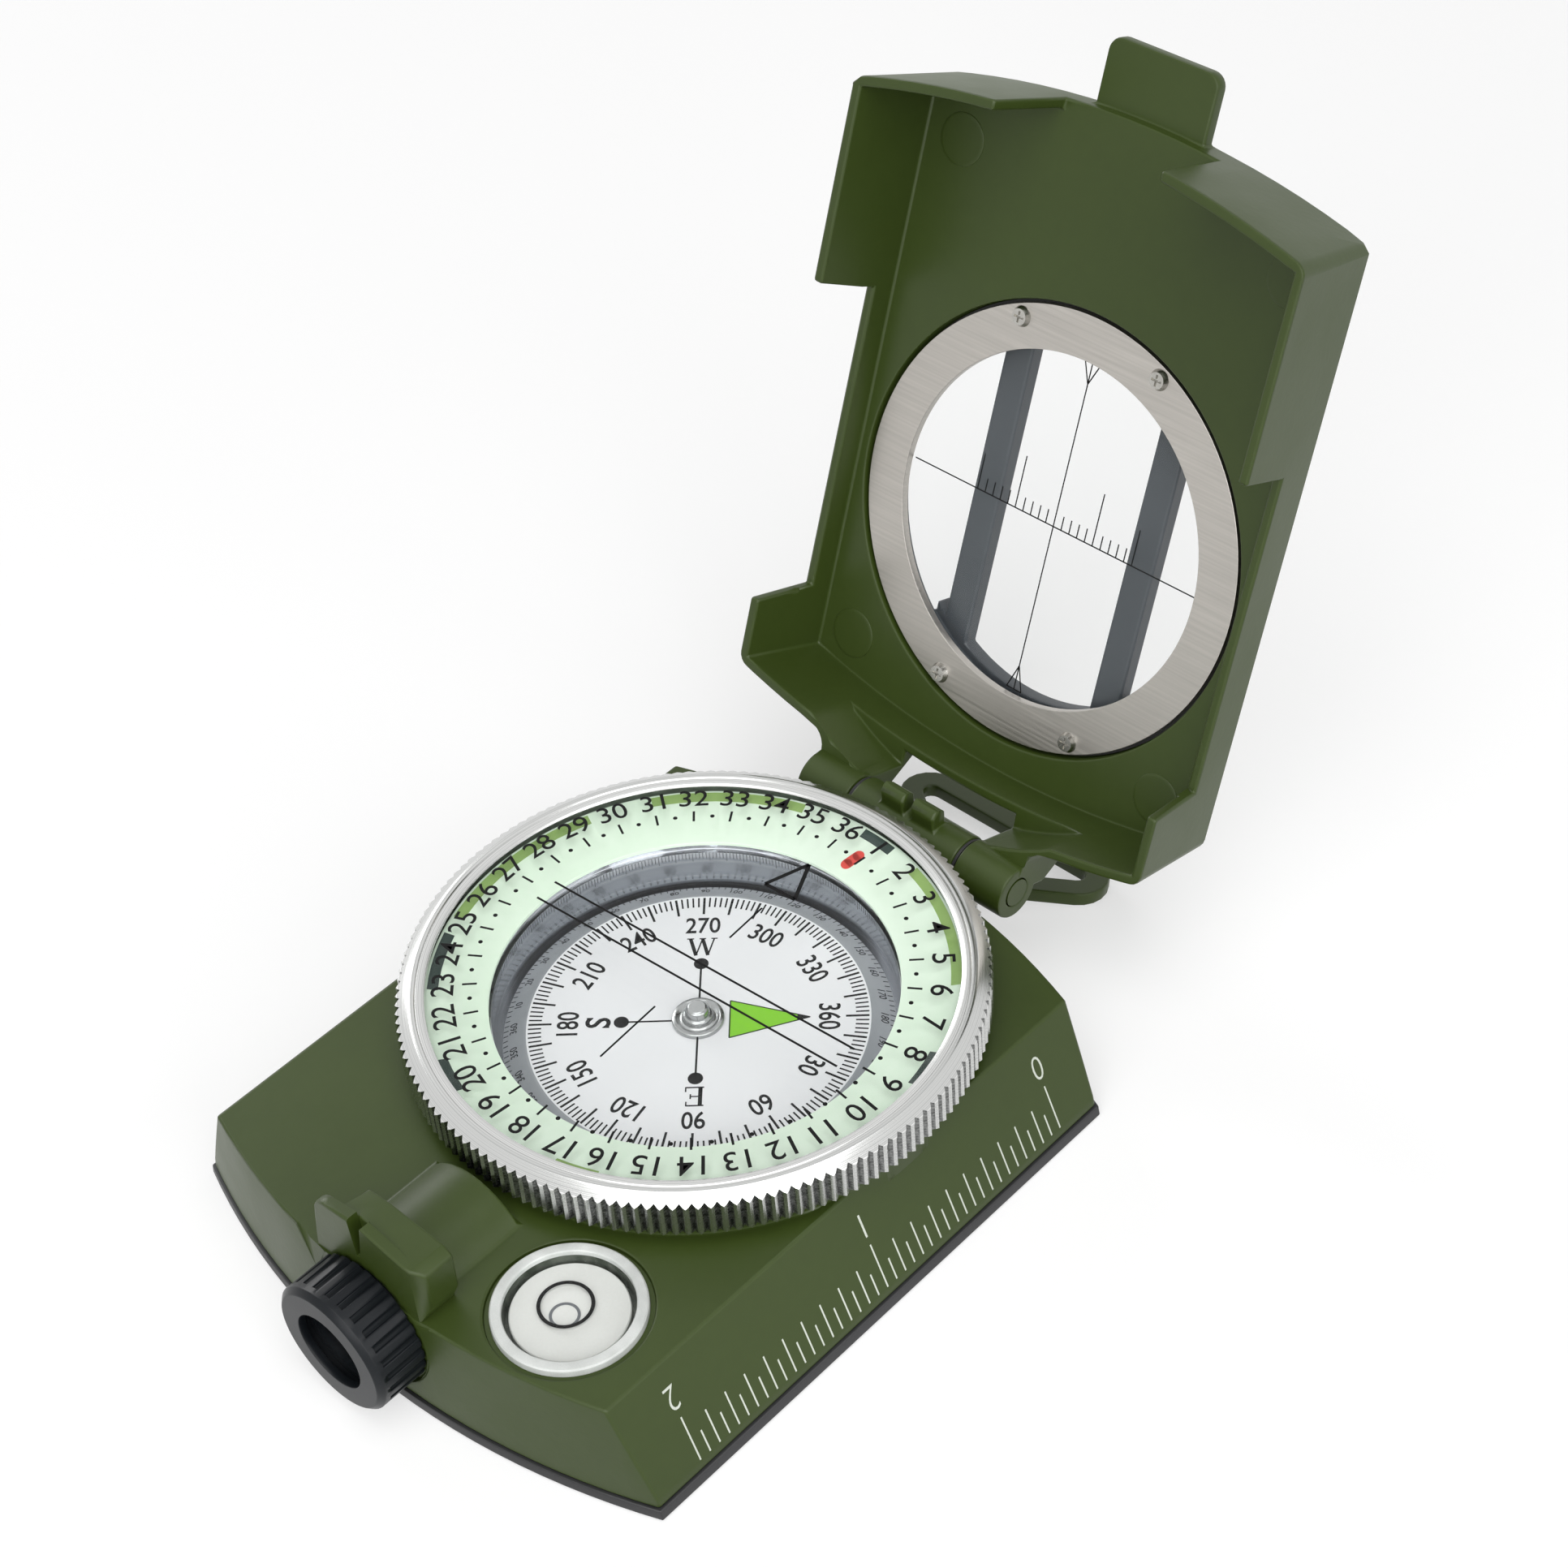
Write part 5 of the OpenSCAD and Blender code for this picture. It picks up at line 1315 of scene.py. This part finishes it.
@dataclass
class Bezel:
    """Knurled ring and its printed glass."""

    teeth: int = 156
    tooth_depth: float = 0.5
    # Depth range and foot height of the valley faces that get painted shade
    valley: Point = (0.25, 0.6)
    valley_foot: float = 0.2
    columns: tuple[float, ...] = (1.0, 0.4, 0.0, 0.4)
    grip_h: float = 3.85
    chamfer: Point = (1.47, 0.95)
    glass_edge: float = 0.05
    print_lift: float = 0.002
    dash: Point = (20.95, 22.4)
    dash_w: float = 0.24
    dot_at: float = 21.64
    dot_r: float = 0.23
    figure_r: float = 24.3
    figure_h: float = 2.25
    figure_stretch: float = 1.02
    figure_bold: float = 0.01
    sight_half: float = 1.32
    sight_line: Point = (-19.2, 18.9)
    sight_w: float = 0.24
    centre_lines: tuple[Point, ...] = ((5.6, 10.6), (-13.5, -5.55))
    centre_w: float = 0.2
    triangle: Point = (18.03, 13.37)
    triangle_half: float = 1.89
    triangle_w: float = 0.42

    def build(self) -> None:
        """Builds all pieces."""
        self.ring()
        soft_copy("bezel_glass", "bezel_pane", self.glass_edge, PANE, Body.BEZEL, segments=1)
        self.print_glass()

    def ring(self) -> None:
        """Turns the ring and cuts its teeth by drawing in every valley's points."""
        low, high = box_mm("bezel_ring")
        r = high.x
        band = low.z + self.grip_h
        slope = self.chamfer[1] / self.chamfer[0]
        bm = turned([
            (r - 2.1, low.z), (r - 0.35, low.z), (r, low.z + 0.3), (r, band), (r - 0.6, band + 0.6 * slope),
            (r - 1.3, high.z - 0.11), (r - 1.5, high.z - 0.02), (r - 1.75, high.z), (r - 1.95, high.z - 0.03),
            (r - 2.05, high.z - 0.12), (r - 2.15, high.z - 0.06), (r - 2.45, high.z - 0.07),
            (r - 2.75, high.z - 0.16), (r - 2.95, high.z - 0.27), (r - 3.0, high.z - 0.38),
            (r - 2.1, high.z - 0.4),
        ], steps=self.teeth * len(self.columns))
        pitch = 2 * math.pi / (self.teeth * len(self.columns))
        for v in bm.verts:
            reach = math.hypot(v.co.x, v.co.y)
            if reach < (r - 0.4) * MM or v.co.z > (band + 0.1) * MM:
                continue
            column = round(math.atan2(v.co.y, v.co.x) / pitch) % len(self.columns)
            drop = self.tooth_depth * self.columns[column] * MM
            if v.co.z > (band - 0.1) * MM:
                v.co.z += drop * slope
            v.co.x *= 1 - drop / reach
            v.co.y *= 1 - drop / reach
        grip = finish_piece(
            "bezel_knurled", bm, BRIGHT, Body.BEZEL, ("bezel_ring",), crease=24.0,
        )
        self.shade_valleys(grip, r, low.z + self.valley_foot, band)

    def shade_valleys(self, grip: bpy.types.Object, r: float, foot: float, band: float) -> None:
        """Paints shade and dark reflection into the valleys between the teeth, as a darker metal.

        Args:
            grip: The knurled ring.
            r: Its outer radius.
            foot: Height at which the valleys start.
            band: Height at which they end.
        """
        grip.data.materials.append(VALLEY_SHADE.material())
        for face in grip.data.polygons:
            at = face.center / MM
            depth = r - math.hypot(at.x, at.y)
            if self.valley[0] < depth < self.valley[1] and face.normal.z < 0.3 and foot < at.z < band:
                face.material_index = 1

    def print_glass(self) -> None:
        """Prints the numbers, dashes, dots, sighting lines and triangle on the glass."""
        ink = Print(at_height(box_mm("bezel_glass")[1].z + self.print_lift))
        for n in range(1, 37):
            angle = BEZEL_ZERO - 10.0 * n
            at = (self.figure_r, 0.0)
            ink.text(str(n), self.figure_h, at, -90.0, self.figure_stretch, self.figure_bold, about(angle))
            ink.bar((self.dash[0], 0.0), (self.dash[1], 0.0), self.dash_w, about(angle))
            ink.disc((self.dot_at, 0.0), self.dot_r, about(angle + 5.0))
        across = about(BEZEL_ZERO - 90.0)
        start, end = self.sight_line
        for side in (-self.sight_half, self.sight_half):
            ink.bar((start, side), (end, side), self.sight_w, across)
        along = about(BEZEL_ZERO)
        for start, end in self.centre_lines:
            ink.bar((start, 0.0), (end, 0.0), self.centre_w, along)
        tip, base = self.triangle
        apex, left, right = (tip, 0.0), (base, self.triangle_half), (base, -self.triangle_half)
        for start, end in ((apex, left), (left, right), (right, apex)):
            ink.bar(start, end, self.triangle_w, along)
        ink.finish("bezel_print", BLACK_INK, Body.BEZEL, Slot.GLASS)


@dataclass
class Eyepiece:
    """Focusing ring, lens cell and the fixed tube behind them."""

    edge: float = 0.1

    def build(self) -> None:
        """Builds all pieces."""
        soft_copy("eyepiece_ring", "focusing_ring", self.edge, ANODISED, Body.EYEPIECE)
        dress_nodes(ANODISED, "eyepiece_cell", "lens_retainer", "sight_tube")
        dress_nodes(LENS, "eyepiece_lens", "field_lens")


@dataclass
class Lid:
    """Cast lid with its window, retaining ring, screws and printed sighting glass."""

    edge: float = 0.3
    ring_edge: float = 0.1
    ring_t: float = 0.95
    corner_r: float = 1.1
    corner_x: float = 25.2
    corner_low: float = -24.2
    corner_high: float = 39.0
    corner_least: float = 2.5
    shade_r: float = 20.4
    shade_depth: float = -1.2
    glass_depth: float = 1.25
    print_lift: float = 0.002
    line_w: float = 0.14
    cross_y: float = 0.4
    cross_half: float = 18.4
    upright: Point = (-15.8, 16.2)
    marks: int = 10
    mark: float = 1.5
    fifth_mark: float = 5.7
    end_mark: float = 3.9
    arrows: tuple[Point, ...] = ((15.9, 18.2), (-15.5, -18.2))
    arrow_half: float = 0.95
    pins: tuple[Point, ...] = ((-20.0, 34.4), (20.0, 34.4), (-20.4, -20.7), (20.4, -20.7))
    pin_r: float = 2.7
    pin_top_r: float = 2.4
    pin_side: float = 0.07
    pin_top: float = 0.1
    pin_root: float = 0.05
    pin_round: float = 0.06
    pin_floor: float = 0.3

    def build(self) -> None:
        """Builds all pieces."""
        hinge = next(j for j in frame["joints"] if j["name"] == "lid_hinge")
        lean = 180.0 + hinge["range_deg"][0]
        turn = Matrix.Rotation(math.radians(lean), 4, "X")
        low, high = box_mm("lid_ring")
        centre = (low + high) / 2 + turn.to_3x3() @ Vector((0.0, 0.0, self.ring_t / 2))
        self.plane = Matrix.Translation(centre) @ turn
        bm = merged_copy("lid")
        self.soften_corners(bm)
        round_edges(bm, self.edge)
        casting = finish_piece("lid_casting", bm, OLIVE, Body.LID, ("lid",))
        self.shade_window(casting)
        brushed = Metal(
            "brushed_plate", deep=(0.42, 0.40, 0.37), pale=(0.50, 0.475, 0.44), gloss=(0.30, 0.42),
            pattern=Pattern.BRUSHED, lines=3200.0, depth=0.0015, turn=(lean, 0.0, 0.0),
            centre=tuple(centre * MM),
        )
        soft_copy("lid_ring", "window_ring", self.ring_edge, brushed, Body.LID)
        dress_nodes(RUBBER, "lid_gasket")
        dress_nodes(STEEL, "ring_screws")
        soft_copy("lid_glass", "window_pane", 0.0, PANE, Body.LID)
        self.reticle()
        self.ejector_marks()

    def soften_corners(self, bm: bmesh.types.BMesh) -> None:
        """Rounds the tray's outer corners, whose edges run along the lid's depth."""
        join_flat(bm)
        back = self.plane.inverted().to_3x3()
        middle = self.plane.translation
        picked = []
        for edge in bm.edges:
            along = back @ (edge.verts[1].co - edge.verts[0].co) / MM
            at = back @ ((edge.verts[0].co + edge.verts[1].co) / (2 * MM) - middle)
            deep = along.length > self.corner_least and abs(along.z) > 0.95 * along.length
            outside = abs(at.x) > self.corner_x and not self.corner_low < at.y < self.corner_high
            if deep and outside and edge.is_convex and edge.calc_face_angle(0.0) > 1.0:
                picked.append(edge)
        bevel_edges(bm, picked, self.corner_r, 4)
        LOG.info("lid corners rounded: %d", len(picked))

    def shade_window(self, casting: bpy.types.Object) -> None:
        """Paints shade and reflection, in dark slate grey, on the bars and the window's wall behind the
        glass.
        """
        casting.data.materials.append(BAR_SHADE.material())
        back = self.plane.inverted()
        for face in casting.data.polygons:
            at = back @ (face.center / MM)
            faces_out = (back.to_3x3() @ face.normal).z < -0.5
            if math.hypot(at.x, at.y) < self.shade_r and at.z < self.shade_depth and not faces_out:
                face.material_index = 1

    def reticle(self) -> None:
        """Prints the cross, scale and arrows on the window."""
        ink = Print(self.plane @ at_height(self.print_lift - self.glass_depth))
        fine, cross_y = self.line_w, self.cross_y
        ink.bar((-self.cross_half, cross_y), (self.cross_half, cross_y), fine)
        ink.bar((0.0, self.upright[0]), (0.0, self.upright[1]), fine)
        for i in range(-self.marks, self.marks + 1):
            length = {5: self.fifth_mark, self.marks: self.end_mark}.get(abs(i), self.mark)
            if i:
                ink.bar((float(i), cross_y), (float(i), cross_y + length), fine)
        for tip, base in self.arrows:
            for side in (-self.arrow_half, self.arrow_half):
                ink.bar((0.0, tip), (side, base), fine)
            ink.bar((0.0, tip), (0.0, base), fine)
            ink.bar((-self.arrow_half, base), (self.arrow_half, base), fine)
        ink.finish("window_reticle", BLACK_INK, Body.LID, Slot.GLASS)

    def ejector_marks(self) -> None:
        """Adds the shallow round pads that the die's pins leave on the lid's floor."""
        profile = rounded([
            (0.0, -self.pin_root), (self.pin_r, -self.pin_root), (self.pin_r, self.pin_side),
            (self.pin_top_r, self.pin_top), (0.0, self.pin_top),
        ], self.pin_round)
        for i, (x, y) in enumerate(self.pins):
            bm = turned(profile, steps=40, closed=False)
            place = self.plane @ Matrix.Translation((x, y, self.pin_floor))
            bm.transform(Matrix.Scale(MM, 4) @ place @ Matrix.Scale(1 / MM, 4))
            finish_piece(f"lid_pin_mark_{i}", bm, OLIVE, Body.LID)


@dataclass
class Loop:
    """Lanyard loop."""

    edge: float = 0.3

    def build(self) -> None:
        """Builds the loop."""
        soft_copy("lanyard_loop", "lanyard_loop_soft", self.edge, OLIVE, Body.LOOP)


# Name, place and size in metres, and power in watts of each lamp
LAMPS = (
    ("left_lamp", (-0.84, 0.14, 0.42), (0.35, 0.45), 2.3),
    ("top_lamp", (0.30, -0.25, 0.92), (0.90, 0.90), 6.4),
    ("right_lamp", (0.85, -0.10, 0.40), (0.80, 0.60), 3.8),
    ("front_lamp", (0.30, -0.80, 0.46), (0.80, 0.60), 3.8),
)


@dataclass
class Studio:
    """Pale floor, soft lamps and the camera at the photograph's view."""

    eye: Colour = (163.437, -141.700, 245.826)
    right: Colour = (0.73127, 0.67912, -0.06357)
    up: Colour = (-0.43359, 0.53477, 0.72527)
    lens: float = 74.37
    sensor: float = 36.0
    floor_half: float = 1.6
    sky: float = 0.14
    floor_tone: float = 0.50
    floor_glow: float = 0.52
    floor_drop: float = 0.0002
    fade_from: float = 0.22
    fade_to: float = 0.62
    target: Colour = (0.0, 0.02, 0.03)

    def build(self) -> None:
        """Builds the floor, the world, the lamps and the camera."""
        self.floor()
        self.world()
        for lamp in LAMPS:
            self.lamp(*lamp)
        self.camera()

    def seen(self, tree: bpy.types.NodeTree) -> bpy.types.NodeSocket:
        """Returns 1 for rays that show the background: from the camera, mirrors and glass."""
        path = tree.nodes.new("ShaderNodeLightPath")
        total = path.outputs["Is Camera Ray"]
        for key in ("Is Glossy Ray", "Is Transmission Ray"):
            node = tree.nodes.new("ShaderNodeMath")
            node.operation = "MAXIMUM"
            tree.links.new(total, node.inputs[0])
            tree.links.new(path.outputs[key], node.inputs[1])
            total = node.outputs[0]
        return total

    def faded(self, tree: bpy.types.NodeTree, near: float, far: float) -> bpy.types.NodeSocket:
        """Returns a value that changes smoothly over the floor.

        Args:
            tree: The floor's node tree.
            near: The value about the compass.
            far: The value away from it.

        Returns:
            The socket of the value.
        """
        coords = tree.nodes.new("ShaderNodeTexCoord")
        reach = tree.nodes.new("ShaderNodeVectorMath")
        reach.operation = "LENGTH"
        tree.links.new(coords.outputs["Object"], reach.inputs[0])
        fade = tree.nodes.new("ShaderNodeMapRange")
        fade.interpolation_type = "SMOOTHSTEP"
        fade.inputs["From Min"].default_value = self.fade_from
        fade.inputs["From Max"].default_value = self.fade_to
        fade.inputs["To Min"].default_value = near
        fade.inputs["To Max"].default_value = far
        tree.links.new(reach.outputs["Value"], fade.inputs["Value"])
        return fade.outputs["Result"]

    def floor(self) -> None:
        """Lays the floor, which shows near white and keeps a soft shadow."""
        bm = bmesh.new()
        bmesh.ops.create_grid(bm, x_segments=1, y_segments=1, size=self.floor_half)
        bmesh.ops.translate(bm, verts=bm.verts, vec=(0, 0, -self.floor_drop))
        mesh = bpy.data.meshes.new("floor")
        bm.to_mesh(mesh)
        bm.free()
        material = bpy.data.materials.new("studio_floor")
        material.use_nodes = True
        tree = material.node_tree
        shader = tree.nodes["Principled BSDF"]
        shader.inputs["Roughness"].default_value = 0.9
        shader.inputs["Specular IOR Level"].default_value = 0.0
        glow = tree.nodes.new("ShaderNodeEmission")
        glow.inputs["Color"].default_value = (1.0, 1.0, 1.0, 1.0)
        tree.links.new(self.faded(tree, self.floor_tone, 0.0), shader.inputs["Base Color"])
        scale = tree.nodes.new("ShaderNodeMath")
        scale.operation = "MULTIPLY"
        tree.links.new(self.faded(tree, self.floor_glow, 1.0), scale.inputs[1])
        tree.links.new(self.seen(tree), scale.inputs[0])
        tree.links.new(scale.outputs[0], glow.inputs["Strength"])
        both = tree.nodes.new("ShaderNodeAddShader")
        tree.links.new(shader.outputs[0], both.inputs[0])
        tree.links.new(glow.outputs[0], both.inputs[1])
        tree.links.new(both.outputs[0], tree.nodes["Material Output"].inputs["Surface"])
        mesh.materials.append(material)
        floor = bpy.data.objects.new("floor", mesh)
        bpy.context.scene.collection.objects.link(floor)

    def world(self) -> None:
        """Sets a soft even sky that shows as white."""
        world = bpy.data.worlds.new("studio")
        bpy.context.scene.world = world
        world.use_nodes = True
        tree = world.node_tree
        back = tree.nodes["Background"]
        back.inputs["Color"].default_value = (1.0, 1.0, 1.0, 1.0)
        spread = tree.nodes.new("ShaderNodeMapRange")
        spread.inputs["To Min"].default_value = self.sky
        spread.inputs["To Max"].default_value = 1.0
        tree.links.new(self.seen(tree), spread.inputs["Value"])
        tree.links.new(spread.outputs["Result"], back.inputs["Strength"])

    def lamp(self, name: str, place: Colour, size: Point, power: float) -> None:
        """Hangs a soft rectangular lamp that faces the compass.

        Args:
            name: Name of the lamp.
            place: Its place in metres.
            size: Its width and height in metres.
            power: Its power in watts.
        """
        light = bpy.data.lights.new(name, "AREA")
        light.shape = "RECTANGLE"
        light.size, light.size_y = size
        light.energy = power
        lamp = bpy.data.objects.new(name, light)
        lamp.location = place
        aim = Vector(self.target) - Vector(place)
        lamp.rotation_euler = aim.to_track_quat("-Z", "Y").to_euler()
        bpy.context.scene.collection.objects.link(lamp)

    def camera(self) -> None:
        """Sets the camera where the photograph was taken."""
        data = bpy.data.cameras.new("camera")
        data.lens = self.lens
        data.sensor_width = self.sensor
        data.clip_start, data.clip_end = 0.01, 20.0
        camera = bpy.data.objects.new("camera", data)
        right = Vector(self.right).normalized()
        back = right.cross(Vector(self.up)).normalized()
        turn = Matrix((right, back.cross(right), back)).transposed().to_4x4()
        camera.matrix_world = Matrix.Translation(Vector(self.eye) * MM) @ turn
        bpy.context.scene.collection.objects.link(camera)
        bpy.context.scene.camera = camera


def main() -> None:
    """Builds every sub-assembly in order, then the studio."""
    logging.basicConfig(level=logging.INFO, format="%(name)s: %(message)s")
    bpy.context.scene.view_settings.view_transform = "Standard"
    for part in (Housing(), Level(), Capsule(), Card(), Bezel(), Eyepiece(), Lid(), Loop(), Studio()):
        LOG.info("building %s", type(part).__name__)
        part.build()


if __name__ == "__main__":
    main()
